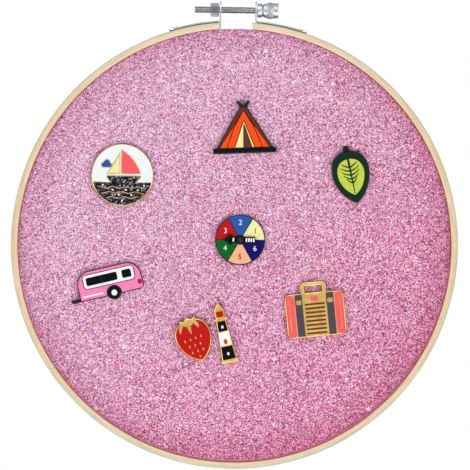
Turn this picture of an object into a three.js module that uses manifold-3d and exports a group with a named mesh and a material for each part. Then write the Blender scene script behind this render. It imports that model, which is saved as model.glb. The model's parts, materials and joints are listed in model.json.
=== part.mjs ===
// Pin display hoop: a wooden embroidery hoop with a thumbscrew clamp, a disc of glitter cloth stretched in
// it, and a small collection of enamel pins pushed through the cloth, each held by clutches behind it.
// Millimetres. The hoop is upright, as it hangs: +Z is up, the cloth faces -Y and +X is to the right.
// The origin is the hang point, the underside of the screw half way between the two ears of the clamp.
import * as THREE from "three";
import { mergeVertices } from "three/addons/utils/BufferGeometryUtils.js";
import Module from "manifold-3d";

const wasm = await Module();
wasm.setup();

// The two wooden hoops and the cloth between them.
const HOOP_DIAMETER = 205;
const OUTER_WALL = 3.1;
const OUTER_DEPTH = 9;
const INNER_WALL = 3.8;
const INNER_DEPTH = 9;
const EDGE_ROUND = 0.7;
const CLOTH_THICKNESS = 0.6;
const FACE_RECESS = 1.8; // the cloth lies this far behind the front edge of the outer hoop
const HEM_SHOWS = 1.5; // the turned-back band shows this far behind the outer hoop
const BOTTOM_SEAM = 0.3; // slit where the two halves of the outer hoop bend apart
const SEAT_GAP = 0.25; // between pieces that rest on each other
const BUTT_GAP = 0.05; // between two solids of one piece of cloth

// The clamp: two bent brackets, their rivets, the thumbscrew and its nut.
const EAR_SPREAD = 16.4; // between the mid-planes of the two ears
const RIGHT_END_PAST_EAR = 1.55; // how far the right end of the wood runs past its ear into the gap
const SHEET_THICKNESS = 0.7;
const BRACKET_WIDTH = 8;
const FOOT_LENGTH = 24;
const SCREW_RISE = 5.5; // screw axis above the top of the hoop
const SHANK_DIAMETER = 2.9;
const SHANK_END = 20; // from the middle of the gap to the free end of the shank
const SHANK_CHAMFER = 0.4;
const TURNING_CLEARANCE = 0.15; // radial, in the ear that the screw turns in
const SWING_CLEARANCE = 0.45; // radial, in the nut and its ear, as the screw tilts when the hoop opens
const NUT_ACROSS_FLATS = 5.5;
const NUT_WIDTH = 4;
const COLLAR_DIAMETER = 6.3;
const COLLAR_LENGTH = 2;
const GROOVE_DIAMETER = 4.8;
const GROOVE_LENGTH = 0.9;
const SHOULDER_LENGTH = 1.2;
const BARREL_DIAMETER = 7.6;
const BARREL_LENGTH = 3.6;
const BARREL_BULGE = 0.35;
const END_COLLAR_DIAMETER = 6.8;
const END_COLLAR_LENGTH = 1.9;
const RIVET_DIAMETER = 1.8;
const RIVET_HEAD_DIAMETER = 3.4;
const RIVET_HEAD_HEIGHT = 0.3;
const RIVET_INSET = 3.2; // from the end of the foot
const RIVET_CLEARANCE = 0.1;

// What every pin has: a die-struck plate with pockets of enamel, posts, and clutches on the posts.
const PLATE_THICKNESS = 1.6;
const RIM_WIDTH = 0.75;
const LINE_WIDTH = 0.5; // raised metal line between two cells
const CELL_DEPTH = 0.7;
const CELL_GAP = 0.08;
const ENAMEL_SINK = 0.12;
const POST_DIAMETER = 1.1;
const POST_LENGTH = 7.5;
const POST_POINT = 1.4;
const POST_HOLE_CLEARANCE = 0.3;
const CLUTCH_GRIP_CLEARANCE = 0.12;
const CLUTCH_BORE_SPARE = 0.4;
const CLUTCH_END_WALL = 0.8;
const CLUTCH_FLANGE_DIAMETER = 10;
const CLUTCH_FLANGE_THICKNESS = 1.8;
const CLUTCH_BODY_DIAMETER = 7;
const CLUTCH_TIP_DIAMETER = 5.6;
const CLUTCH_SPACING = 2; // room between the flanges of one pin's two clutches

// The spinner pin's pointer.
const POINTER_LENGTH = 7.6; // from the rivet to the tip
const POINTER_TAIL = 7;
const POINTER_WIDTH = 3;
const POINTER_HEAD_LENGTH = 3.6;
const POINTER_HEAD_WIDTH = 5.6;
const POINTER_THICKNESS = 0.8;
const POINTER_LIFT = 0.25;
const POINTER_BOSS_DIAMETER = 4;
const POINTER_RIVET_DIAMETER = 1.5;
const POINTER_RIVET_HEAD_DIAMETER = 2.4;
const POINTER_RIVET_HEAD_HEIGHT = 0.5;
const POINTER_CLEARANCE = 0.15;
const HUB_DIAMETER = 4.6; // bare metal in the middle of the spinner

// Overall sizes of the pins.
const SAILBOAT_DIAMETER = 28.6;
const TENT_WIDTH = 29.2;
const TENT_HEIGHT = 24.3;
const TENT_GROUND = 2.6;
const LEAF_WIDTH = 17.7;
const LEAF_HEIGHT = 26.9;
const LEAF_BORDER = 2.1;
const LEAF_STEM = 2.4;
const SPINNER_DIAMETER = 23.1;
const CARAVAN_LENGTH = 34;
const CARAVAN_HEIGHT = 15.6;
const CARAVAN_WHEEL_DIAMETER = 6.4;
const CARAVAN_AXLE_OFFSET = 1; // behind the middle of the body
const CARAVAN_SKIRT_CORNER = 2;
const CARAVAN_BAND_INSET = 3.2; // from each end of the body
const CARAVAN_BAND_LIFT = 1.1; // above the wheel
const CARAVAN_BAND_DROP = 1.9; // below the roof
const CARAVAN_BAND_CORNER = 1.4;
const CARAVAN_PANE_BORDER = 1.25; // white round the window
const CARAVAN_PANE_LENGTH = 14.5;
const CARAVAN_PANE_CORNER = 0.8;
const TOW_BAR_LENGTH = 4;
const TOW_BAR_HEIGHT = 1.7;
const STRAWBERRY_WIDTH = 16.6;
const STRAWBERRY_HEIGHT = 21.4;
const LIGHTHOUSE_WIDTH = 8.2;
const LIGHTHOUSE_HEIGHT = 28;
const SUITCASE_WIDTH = 27.3;
const SUITCASE_HEIGHT = 20.4;
const SUITCASE_CORNER = 2.6;
const STRAP_WIDTH = 3.4;
const STRAP_SPREAD = 14.4; // between the middles of the two straps
const HANDLE_WIDTH = 12;
const HANDLE_RISE = 5;
const HANDLE_BAR = 2;

// Where each pin sits on the cloth, right of and above the hoop's centre.
const SAILBOAT_RIGHT = -51.9;
const SAILBOAT_ABOVE = 31.4;
const TENT_RIGHT = 3.5;
const TENT_ABOVE = 54.4;
const LEAF_RIGHT = 53;
const LEAF_ABOVE = 33.4;
const SPINNER_RIGHT = 2.6;
const SPINNER_ABOVE = 2.6;
const CARAVAN_RIGHT = -58.7;
const CARAVAN_ABOVE = -18.8;
const STRAWBERRY_RIGHT = -17.6;
const STRAWBERRY_ABOVE = -43.4;
const LIGHTHOUSE_RIGHT = -4.2;
const LIGHTHOUSE_ABOVE = -40.4;
const SUITCASE_RIGHT = 37.5;
const SUITCASE_ABOVE = -28.6;

// Shares that shape small roundings.
const MOST_ROUND = 0.45; // largest corner of a box, of its shorter side
const MITRE_LIMIT = 0.3; // least cosine at which a grown outline keeps its sharp corner
const DOME_SHOULDER = 0.72; // where a rivet's dome turns over, of its radius and of its height

// Facets: steps round a hoop, a clamp piece, a clutch and a pin's curves.
const HOOP_STEPS = 80;
const CLAMP_STEPS = 20;
const FOOT_STEPS = 8;
const CLUTCH_STEPS = 12;
const POST_STEPS = 8;
const ROUND_PIN_STEPS = 36;
const CURVE_STEPS = 8;
const CONTOUR_STEPS = 10;
const CORNER_STEPS = 2;

// Places worked out from the sizes above, in the hoop's own frame, whose origin is the hoop's centre.
const outerRadius = HOOP_DIAMETER / 2;
const outerBore = outerRadius - OUTER_WALL;
const bandOuter = outerBore - SEAT_GAP;
const bandInner = bandOuter - CLOTH_THICKNESS;
const innerRadius = bandInner - SEAT_GAP;
const innerBore = innerRadius - INNER_WALL;
const hoopFront = -OUTER_DEPTH / 2;
const hoopBack = OUTER_DEPTH / 2;
const clothFront = hoopFront + FACE_RECESS;
const clothBack = clothFront + CLOTH_THICKNESS;
const innerFront = clothBack + SEAT_GAP;
const innerBack = innerFront + INNER_DEPTH;
const earX = EAR_SPREAD / 2;
const screwHeight = outerRadius + SCREW_RISE;
const hangHeight = screwHeight - SHANK_DIAMETER / 2;
const leftWoodEnd = earX + SHEET_THICKNESS / 2 + SEAT_GAP; // the left ear covers the end of the wood
const rightWoodEnd = earX - RIGHT_END_PAST_EAR;
const footInner = outerRadius + SEAT_GAP;
const footOuter = footInner + SHEET_THICKNESS;
const plateBack = clothFront - SEAT_GAP;
const plateFront = plateBack - PLATE_THICKNESS;
const postTip = plateBack + POST_LENGTH;
const clutchFront = clothBack + SEAT_GAP;
const clutchBoreEnd = postTip + CLUTCH_BORE_SPARE;
const clutchBack = clutchBoreEnd + CLUTCH_END_WALL;
const postSpread = (CLUTCH_FLANGE_DIAMETER + CLUTCH_SPACING) / 2; // each post of a pair from their middle

// Finishes, by colour, roughness and metalness.
const finish = (color, roughness, metalness) =>
  new THREE.MeshStandardMaterial({ color, roughness, metalness });
const wood = () => finish("#e6cd9f", 0.6, 0);
const plated = () => finish("#b9bcc0", 0.28, 1);
const sheetSteel = () => finish("#8d9096", 0.4, 1);
const gold = () => finish("#d3a548", 0.3, 1);
const darkNickel = () => finish("#2a2a2e", 0.35, 1);
const cloth = () => finish("#d07ca8", 0.55, 0.1);
const rubber = () => finish("#1b1b1d", 0.75, 0);
const enamel = (color) => finish(color, 0.18, 0);

// Booleans: a closed geometry as a solid, and a solid as a geometry.
function solid(geometry) {
  const bare = new THREE.BufferGeometry();
  bare.setAttribute("position", geometry.getAttribute("position").clone());
  if (geometry.index) bare.setIndex(geometry.index.clone());
  const merged = mergeVertices(bare, 1e-4);
  return new wasm.Manifold(
    new wasm.Mesh({
      numProp: 3,
      vertProperties: new Float32Array(merged.getAttribute("position").array),
      triVerts: new Uint32Array(merged.index.array),
    }),
  );
}

function geometryOf(made) {
  const mesh = made.getMesh();
  const geometry = new THREE.BufferGeometry();
  geometry.setAttribute("position", new THREE.BufferAttribute(mesh.vertProperties, 3));
  geometry.setIndex(new THREE.BufferAttribute(mesh.triVerts, 1));
  return geometry;
}

const cut = (body, tools) => tools.reduce((rest, tool) => rest.subtract(tool), body);

// Extrusions: an outline drawn in x and z, carried from back to front along Y, or one drawn in y and z,
// carried along X.
const X_AXIS = new THREE.Vector3(1, 0, 0);
const Y_AXIS = new THREE.Vector3(0, 1, 0);
const Z_AXIS = new THREE.Vector3(0, 0, 1);
const FRONT = new THREE.Vector3(0, -1, 0);

function slab(shape, back, front, curveSegments = CURVE_STEPS) {
  const settings = { depth: back - front, bevelEnabled: false, steps: 1, curveSegments };
  return new THREE.ExtrudeGeometry(shape, settings)
    .applyMatrix4(new THREE.Matrix4().makeBasis(X_AXIS, Z_AXIS, FRONT))
    .translate(0, back, 0);
}

function bar(shape, left, right, curveSegments = CLAMP_STEPS) {
  const settings = { depth: right - left, bevelEnabled: false, steps: 1, curveSegments };
  return new THREE.ExtrudeGeometry(shape, settings)
    .applyMatrix4(new THREE.Matrix4().makeBasis(Y_AXIS, Z_AXIS, X_AXIS))
    .translate(left, 0, 0);
}

// A turned piece: [radius, place along the axis] pairs about Y.
function turned(profile, steps) {
  const points = profile.map(([radius, along]) => new THREE.Vector2(radius, along));
  return new THREE.LatheGeometry(points, steps);
}

// Outlines: a path drawn by a function, as points with no repeated end, and a few common ones.
function drawn(draw, steps = CURVE_STEPS) {
  const shape = new THREE.Shape();
  draw(shape);
  const points = shape.getPoints(steps);
  if (points[0].distanceTo(points.at(-1)) < 1e-6) points.pop();
  return THREE.ShapeUtils.isClockWise(points) ? points.reverse() : points;
}

const disc = (radius, steps = ROUND_PIN_STEPS) =>
  Array.from({ length: steps }, (_, i) => {
    const angle = (2 * Math.PI * i) / steps;
    return new THREE.Vector2(radius * Math.cos(angle), radius * Math.sin(angle));
  });

const polygon = (pairs) => {
  const corners = pairs.map(([x, z]) => new THREE.Vector2(x, z));
  return drawn((path) => path.setFromPoints(corners));
};

// A box whose corners are rounded as far as its sides allow.
function roundedBox(left, bottom, right, top, corner) {
  const round = Math.min(corner, MOST_ROUND * (right - left), MOST_ROUND * (top - bottom));
  return drawn((path) => {
    path.absarc(right - round, bottom + round, round, -Math.PI / 2, 0, false);
    path.absarc(right - round, top - round, round, 0, Math.PI / 2, false);
    path.absarc(left + round, top - round, round, Math.PI / 2, Math.PI, false);
    path.absarc(left + round, bottom + round, round, Math.PI, 1.5 * Math.PI, false);
  }, CORNER_STEPS);
}

const annulusSector = (inner, outer, from, to) => {
  const shape = new THREE.Shape();
  shape.absarc(0, 0, outer, from, to, false);
  shape.absarc(0, 0, inner, to, from, true);
  return shape;
};

// An outline grown outwards by a distance: each edge moves along its normal, and neighbours meet again.
function grow(points, distance) {
  const count = points.length;
  return points.map((point, i) => {
    const before = point.clone().sub(points[(i + count - 1) % count]).normalize();
    const after = points[(i + 1) % count].clone().sub(point).normalize();
    const normalBefore = new THREE.Vector2(before.y, -before.x);
    const normalAfter = new THREE.Vector2(after.y, -after.x);
    const middle = normalBefore.clone().add(normalAfter).normalize();
    return point.clone().addScaledVector(middle, distance / Math.max(MITRE_LIMIT, middle.dot(normalAfter)));
  });
}

function place(parent, name, geometry, material) {
  const mesh = new THREE.Mesh(geometry, material);
  mesh.name = name;
  parent.add(mesh);
  return mesh;
}

// The hoops.
// A strip's section with its four edges eased, as a closed profile round the hoop's axis.
function stripSection(inner, outer, front, back) {
  const ease = EDGE_ROUND;
  return [
    [inner, front + ease],
    [inner + ease, front],
    [outer - ease, front],
    [outer, front + ease],
    [outer, back - ease],
    [outer - ease, back],
    [inner + ease, back],
    [inner, back - ease],
    [inner, front + ease],
  ];
}

// Everything on one side of the bottom seam and of this side's end at the gap, as a cutting block.
function otherSide(side, endX) {
  const far = HOOP_DIAMETER;
  const block = polygon([
    [-side * far, -far],
    [side * BOTTOM_SEAM / 2, -far],
    [side * BOTTOM_SEAM / 2, 0],
    [side * endX, 0],
    [side * endX, far],
    [-side * far, far],
  ]);
  return solid(slab(new THREE.Shape(block), OUTER_DEPTH, -OUTER_DEPTH));
}

// A clamp foot starts under its ear; its rivet stands near its end. Angles are from the top, in radians.
const footStart = (earX - SHEET_THICKNESS / 2) / footInner;
const footEnd = footStart + FOOT_LENGTH / footInner;
const rivetAngle = footEnd - RIVET_INSET / footInner;

// A round bar along the rivet's axis, for its holes.
function rivetHole(side) {
  const radius = RIVET_DIAMETER / 2 + RIVET_CLEARANCE;
  const length = 4 * (OUTER_WALL + SHEET_THICKNESS);
  const hole = new THREE.CylinderGeometry(radius, radius, length, CLAMP_STEPS / 2)
    .rotateX(Math.PI / 2)
    .translate(0, 0, outerRadius)
    .rotateY(side * rivetAngle);
  return solid(hole);
}

function outerHalf(side, endX) {
  const ring = solid(turned(stripSection(outerBore, outerRadius, hoopFront, hoopBack), HOOP_STEPS));
  return geometryOf(cut(ring, [otherSide(side, endX), rivetHole(side)]));
}

const innerHoop = () => turned(stripSection(innerBore, innerRadius, innerFront, innerBack), HOOP_STEPS);

// The cloth: the stretched face, pierced for the posts, and the band turned back over the inner hoop.
function clothFace(postPlaces) {
  const shape = new THREE.Shape(disc(bandOuter, HOOP_STEPS));
  for (const at of postPlaces) {
    const hole = disc(POST_DIAMETER / 2 + POST_HOLE_CLEARANCE, POST_STEPS).map((point) => point.add(at));
    shape.holes.push(new THREE.Path(hole));
  }
  return slab(shape, clothBack, clothFront);
}

function clothBand() {
  const front = clothBack + BUTT_GAP;
  const back = hoopBack + HEM_SHOWS;
  const section = [
    [bandInner, front],
    [bandOuter, front],
    [bandOuter, back],
    [bandInner, back],
    [bandInner, front],
  ];
  return turned(section, HOOP_STEPS);
}

// The clamp.
// A bracket is one strip: the foot follows the hoop, and the ear stands up, round about the screw. The ear
// starts from the radius given: the foot's, or the bore's where it also covers the end of the wood.
function bracket(side, holeClearance, earRadius) {
  const top = Math.PI / 2;
  const [from, to] = side > 0 ? [top - footEnd, top - footStart] : [top + footStart, top + footEnd];
  const half = BRACKET_WIDTH / 2;
  const foot = slab(annulusSector(footInner, footOuter, from, to), half, -half, FOOT_STEPS);
  const earFoot = Math.sqrt(earRadius ** 2 - (earX - SHEET_THICKNESS / 2) ** 2);
  const ear = new THREE.Shape();
  ear.moveTo(-half, earFoot);
  ear.lineTo(half, earFoot);
  ear.absarc(0, screwHeight, half, 0, Math.PI, false);
  const hole = new THREE.Path();
  hole.absarc(0, screwHeight, SHANK_DIAMETER / 2 + holeClearance, 0, 2 * Math.PI, true);
  ear.holes.push(hole);
  const middle = side * earX;
  const upright = bar(ear, middle - SHEET_THICKNESS / 2, middle + SHEET_THICKNESS / 2, CLAMP_STEPS / 2);
  return geometryOf(cut(solid(foot).add(solid(upright)), [rivetHole(side)]));
}

// A rivet with a domed head outside the foot and its tail flush inside the wood.
function rivet(side) {
  const seat = footOuter + RIVET_CLEARANCE;
  const profile = [
    [0, outerBore + RIVET_CLEARANCE],
    [RIVET_DIAMETER / 2, outerBore + RIVET_CLEARANCE],
    [RIVET_DIAMETER / 2, seat],
    [RIVET_HEAD_DIAMETER / 2, seat],
    [DOME_SHOULDER * RIVET_HEAD_DIAMETER / 2, seat + DOME_SHOULDER * RIVET_HEAD_HEIGHT],
    [0, seat + RIVET_HEAD_HEIGHT],
  ];
  return turned(profile, CLAMP_STEPS / 2).rotateX(Math.PI / 2).rotateY(side * rivetAngle);
}

// The nut stands on a corner, so that its corners point up and down.
function hexNut() {
  const corner = NUT_ACROSS_FLATS / Math.sqrt(3);
  const sides = 6;
  const centre = new THREE.Vector2();
  const upright = disc(corner, sides).map((point) => point.rotateAround(centre, Math.PI / sides));
  const shape = new THREE.Shape(upright);
  const bore = new THREE.Path();
  bore.absarc(0, 0, SHANK_DIAMETER / 2 + SWING_CLEARANCE, 0, 2 * Math.PI, true);
  shape.holes.push(bore);
  const right = -earX - SHEET_THICKNESS / 2 - SEAT_GAP;
  return bar(shape, right - NUT_WIDTH, right, CLAMP_STEPS / 2).translate(0, 0, screwHeight);
}

// The thumbscrew, turned about its own axis along X, from the free end of the shank to the end collar.
function thumbscrew() {
  const shank = SHANK_DIAMETER / 2;
  const headStart = earX + SHEET_THICKNESS / 2 + SEAT_GAP;
  const grooveStart = headStart + COLLAR_LENGTH;
  const shoulderStart = grooveStart + GROOVE_LENGTH;
  const barrelStart = shoulderStart + SHOULDER_LENGTH;
  const endStart = barrelStart + BARREL_LENGTH;
  const headEnd = endStart + END_COLLAR_LENGTH;
  const profile = [
    [0, -SHANK_END],
    [shank - SHANK_CHAMFER, -SHANK_END],
    [shank, -SHANK_END + SHANK_CHAMFER],
    [shank, headStart],
    [COLLAR_DIAMETER / 2, headStart],
    [COLLAR_DIAMETER / 2, grooveStart],
    [GROOVE_DIAMETER / 2, grooveStart + GROOVE_LENGTH / 2],
    [COLLAR_DIAMETER / 2, shoulderStart],
    [COLLAR_DIAMETER / 2, barrelStart],
    [BARREL_DIAMETER / 2 - BARREL_BULGE, barrelStart],
    [BARREL_DIAMETER / 2, barrelStart + BARREL_LENGTH / 2],
    [BARREL_DIAMETER / 2 - BARREL_BULGE, endStart],
    [END_COLLAR_DIAMETER / 2, endStart],
    [END_COLLAR_DIAMETER / 2, headEnd],
    [0, headEnd],
  ];
  return turned(profile, CLAMP_STEPS).rotateZ(-Math.PI / 2).translate(0, 0, screwHeight);
}

// Pin artwork: each function gives the plate's outline and its enamel cells. A cell lies over the ones
// before it, and a raised line of metal stays between them.
function sailboat() {
  const radius = SAILBOAT_DIAMETER / 2;
  const field = radius - RIM_WIDTH;
  const waterline = -0.24 * radius;
  const deck = waterline + 0.2 * radius;
  const shore = Math.asin(waterline / field);
  const sea = drawn((path) => {
    path.absarc(0, 0, field, Math.PI - shore, 2 * Math.PI + shore, false);
    path.lineTo(0.42 * radius, waterline);
    path.lineTo(0.6 * radius, deck);
    path.lineTo(-0.5 * radius, deck);
    path.lineTo(-0.36 * radius, waterline);
  }, ROUND_PIN_STEPS / 4);
  const sail = drawn((path) => {
    path.moveTo(-0.02 * radius, deck + 0.1 * radius);
    path.lineTo(0.56 * radius, deck + 0.1 * radius);
    path.quadraticCurveTo(0.42 * radius, 0.5 * radius, -0.02 * radius, 0.78 * radius);
  });
  return {
    outline: disc(radius),
    cells: [
      ["sailboat_sky", disc(field), "#f0f2f4"],
      ["sailboat_sea", sea, "#17161a"],
      ["sailboat_sail", sail, "#ee6f6b"],
    ],
    metal: gold,
    posts: [[-postSpread, 0], [postSpread, 0]],
  };
}

function tent() {
  const half = TENT_WIDTH / 2;
  const top = TENT_HEIGHT / 2;
  const ground = -top + TENT_GROUND;
  const eave = 0.89 * half;
  const apex = 0.74 * top;
  const outline = polygon([
    [-half, -top], [half, -top], [half, ground], [eave, ground],
    [0.12 * half, apex], [0.23 * half, 0.96 * top], [0.14 * half, top],
    [0, 0.82 * top],
    [-0.14 * half, top], [-0.23 * half, 0.96 * top], [-0.12 * half, apex],
    [-eave, ground], [-half, ground],
  ]);
  const sill = ground + LINE_WIDTH / 2;
  const canvas = polygon([[-0.78 * half, sill], [0.78 * half, sill], [0, 0.6 * top]]);
  const doorway = polygon([[-0.3 * half, sill], [0.3 * half, sill], [0, 0.22 * top]]);
  const turf = polygon([
    [-half + RIM_WIDTH, -top + RIM_WIDTH], [half - RIM_WIDTH, -top + RIM_WIDTH],
    [half - RIM_WIDTH, ground - LINE_WIDTH / 2], [-half + RIM_WIDTH, ground - LINE_WIDTH / 2],
  ]);
  return {
    outline,
    cells: [
      ["tent_canvas", canvas, "#f4561c"],
      ["tent_doorway", doorway, "#e6dfa8"],
      ["tent_ground", turf, "#1c1a1a"],
    ],
    metal: darkNickel,
    posts: [[-postSpread, -top / 2], [postSpread, -top / 2]],
  };
}

// A leaf blade with its tip down, round above, from two mirrored curves.
const leafBlade = (width, height) =>
  drawn((path) => {
    path.moveTo(0, -height / 2);
    path.bezierCurveTo(0.62 * width, -0.25 * height, 0.69 * width, 0.5 * height, 0, 0.5 * height);
    path.bezierCurveTo(-0.69 * width, 0.5 * height, -0.62 * width, -0.25 * height, 0, -height / 2);
  }, CONTOUR_STEPS);

function leaf() {
  const height = LEAF_HEIGHT - LEAF_STEM;
  const lowered = (points) => points.map((point) => point.add(new THREE.Vector2(0, -LEAF_STEM / 2)));
  const inset = RIM_WIDTH + LEAF_BORDER;
  return {
    outline: lowered(leafBlade(LEAF_WIDTH, height)),
    stem: roundedBox(-LEAF_STEM / 2, height / 2 - LEAF_STEM, LEAF_STEM / 2, LEAF_HEIGHT / 2, LEAF_STEM / 3),
    cells: [
      ["leaf_border", lowered(leafBlade(LEAF_WIDTH - 2 * RIM_WIDTH, height - 3 * RIM_WIDTH)), "#1c3527"],
      ["leaf_blade", lowered(leafBlade(LEAF_WIDTH - 2 * inset, height - 3 * inset)), "#b6c84a"],
    ],
    metal: darkNickel,
    posts: [[0, postSpread], [0, -postSpread]],
  };
}

function spinner() {
  const radius = SPINNER_DIAMETER / 2;
  const hub = HUB_DIAMETER / 2;
  const field = radius - RIM_WIDTH;
  const colours = ["#e9e3a6", "#3d5fa8", "#b5262a", "#20733a", "#efb48d", "#2b2370"];
  const span = (2 * Math.PI) / colours.length;
  const wedge = (index) => {
    const from = index * span;
    const to = from + span;
    const outerSlip = Math.asin(LINE_WIDTH / 2 / field);
    const innerSlip = Math.asin(LINE_WIDTH / 2 / hub);
    return drawn((path) => {
      path.absarc(0, 0, field, from + outerSlip, to - outerSlip, false);
      path.absarc(0, 0, hub, to - innerSlip, from + innerSlip, true);
    }, CORNER_STEPS);
  };
  return {
    outline: disc(radius),
    cells: colours.map((colour, i) => [`spinner_wedge_${i + 1}`, wedge(i), colour]),
    metal: darkNickel,
    posts: [[-postSpread, 0], [postSpread, 0]],
    bores: [POINTER_RIVET_DIAMETER / 2 + POINTER_CLEARANCE],
  };
}

function caravan() {
  const left = -CARAVAN_LENGTH / 2 + TOW_BAR_LENGTH;
  const right = CARAVAN_LENGTH / 2;
  const top = CARAVAN_HEIGHT / 2;
  const wheel = CARAVAN_WHEEL_DIAMETER / 2;
  const floor = -top + 0.7 * wheel;
  const middle = (left + right) / 2;
  const wheelX = middle + CARAVAN_AXLE_OFFSET;
  const axle = -top + wheel;
  const dip = Math.asin((floor - axle) / wheel);
  const nose = 0.42 * CARAVAN_HEIGHT;
  const skirt = CARAVAN_SKIRT_CORNER;
  const outline = drawn((path) => {
    path.moveTo(-CARAVAN_LENGTH / 2, floor);
    path.absarc(wheelX, axle, wheel, Math.PI - dip, 2 * Math.PI + dip, false);
    path.absarc(right - skirt, floor + skirt, skirt, -Math.PI / 2, 0, false);
    path.absarc(right - nose, top - nose, nose, 0, Math.PI / 2, false);
    path.absarc(left + nose, top - nose, nose, Math.PI / 2, Math.PI, false);
    path.lineTo(left, floor + TOW_BAR_HEIGHT);
    path.lineTo(-CARAVAN_LENGTH / 2, floor + TOW_BAR_HEIGHT);
  }, 2 * CORNER_STEPS);
  const inset = RIM_WIDTH;
  const shell = drawn((path) => {
    path.moveTo(left + inset, floor + inset);
    path.absarc(wheelX, axle, wheel + LINE_WIDTH, Math.PI - dip / 2, dip / 2, true);
    path.lineTo(right - inset, floor + inset);
    path.absarc(right - nose, top - nose, nose - inset, 0, Math.PI / 2, false);
    path.absarc(left + nose, top - nose, nose - inset, Math.PI / 2, Math.PI, false);
  }, 2 * CORNER_STEPS);
  const bandLeft = left + CARAVAN_BAND_INSET;
  const bandRight = right - CARAVAN_BAND_INSET;
  const bandLow = axle + wheel + CARAVAN_BAND_LIFT;
  const bandHigh = top - CARAVAN_BAND_DROP;
  const band = roundedBox(bandLeft, bandLow, bandRight, bandHigh, CARAVAN_BAND_CORNER);
  const paneLeft = bandLeft + CARAVAN_PANE_BORDER;
  const paneRight = paneLeft + CARAVAN_PANE_LENGTH;
  const sill = bandLow + CARAVAN_PANE_BORDER;
  const pane = roundedBox(paneLeft, sill, paneRight, bandHigh - CARAVAN_PANE_BORDER, CARAVAN_PANE_CORNER);
  return {
    outline,
    cells: [
      ["caravan_shell", shell, "#f67fb2"],
      ["caravan_band", band, "#f4f2f3"],
      ["caravan_window", pane, "#141216"],
    ],
    metal: darkNickel,
    posts: [[middle - postSpread, 0], [middle + postSpread, 0]],
  };
}

// A strawberry's fruit, from tip to shoulders.
const fruitCurve = (path, width, height) => {
  path.moveTo(-0.22 * width, 0.42 * height);
  path.bezierCurveTo(-0.68 * width, 0.3 * height, -0.55 * width, -0.3 * height, 0, -0.5 * height);
  path.bezierCurveTo(0.55 * width, -0.3 * height, 0.68 * width, 0.3 * height, 0.22 * width, 0.42 * height);
};

function strawberry() {
  const width = STRAWBERRY_WIDTH;
  const height = STRAWBERRY_HEIGHT;
  const crown = [[0.27, 0.5], [0.11, 0.44], [0, 0.5], [-0.11, 0.44], [-0.27, 0.5]];
  const outline = drawn((path) => {
    fruitCurve(path, width, height);
    for (const [x, z] of crown) path.lineTo(x * width, z * height);
  }, CONTOUR_STEPS);
  const innerWidth = width - 2 * RIM_WIDTH;
  const innerHeight = height - 3 * RIM_WIDTH;
  const fruit = drawn((path) => {
    fruitCurve(path, innerWidth, innerHeight);
    path.quadraticCurveTo(0, 0.2 * height, -0.22 * innerWidth, 0.42 * innerHeight);
  }, CONTOUR_STEPS);
  return {
    outline,
    cells: [["strawberry_fruit", fruit, "#ba2225"]],
    metal: gold,
    posts: [[0, 0]],
  };
}

function lighthouse() {
  const half = LIGHTHOUSE_WIDTH / 2;
  const top = LIGHTHOUSE_HEIGHT / 2;
  const plinth = -0.88 * top;
  const gallery = 0.42 * top;
  const rail = 0.51 * top;
  const eaves = 0.76 * top;
  const side = (z) => half * (0.86 - (0.28 * (z - plinth)) / (gallery - plinth));
  const outline = polygon([
    [-half, -top], [half, -top], [half, plinth], [side(plinth), plinth],
    [side(gallery), gallery], [0.8 * half, gallery], [0.8 * half, rail], [0.56 * half, rail],
    [0.56 * half, eaves], [0.66 * half, eaves], [0.1 * half, top],
    [-0.1 * half, top], [-0.66 * half, eaves], [-0.56 * half, eaves],
    [-0.56 * half, rail], [-0.8 * half, rail], [-0.8 * half, gallery], [-side(gallery), gallery],
    [-side(plinth), plinth], [-half, plinth],
  ]);
  const course = (low, high) => {
    const bottom = low + LINE_WIDTH / 2;
    const ceiling = high - LINE_WIDTH / 2;
    const edge = (z) => side(z) - RIM_WIDTH;
    return polygon([
      [-edge(bottom), bottom], [edge(bottom), bottom],
      [edge(ceiling), ceiling], [-edge(ceiling), ceiling],
    ]);
  };
  const bandLow = -0.42 * top;
  const bandHigh = 0.06 * top;
  return {
    outline,
    cells: [
      ["lighthouse_foot", course(plinth, bandLow), "#121116"],
      ["lighthouse_band", course(bandLow, bandHigh), "#f3f4f0"],
      ["lighthouse_shaft", course(bandHigh, gallery), "#121116"],
    ],
    metal: gold,
    posts: [[0, (plinth + gallery) / 2]],
  };
}

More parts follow.
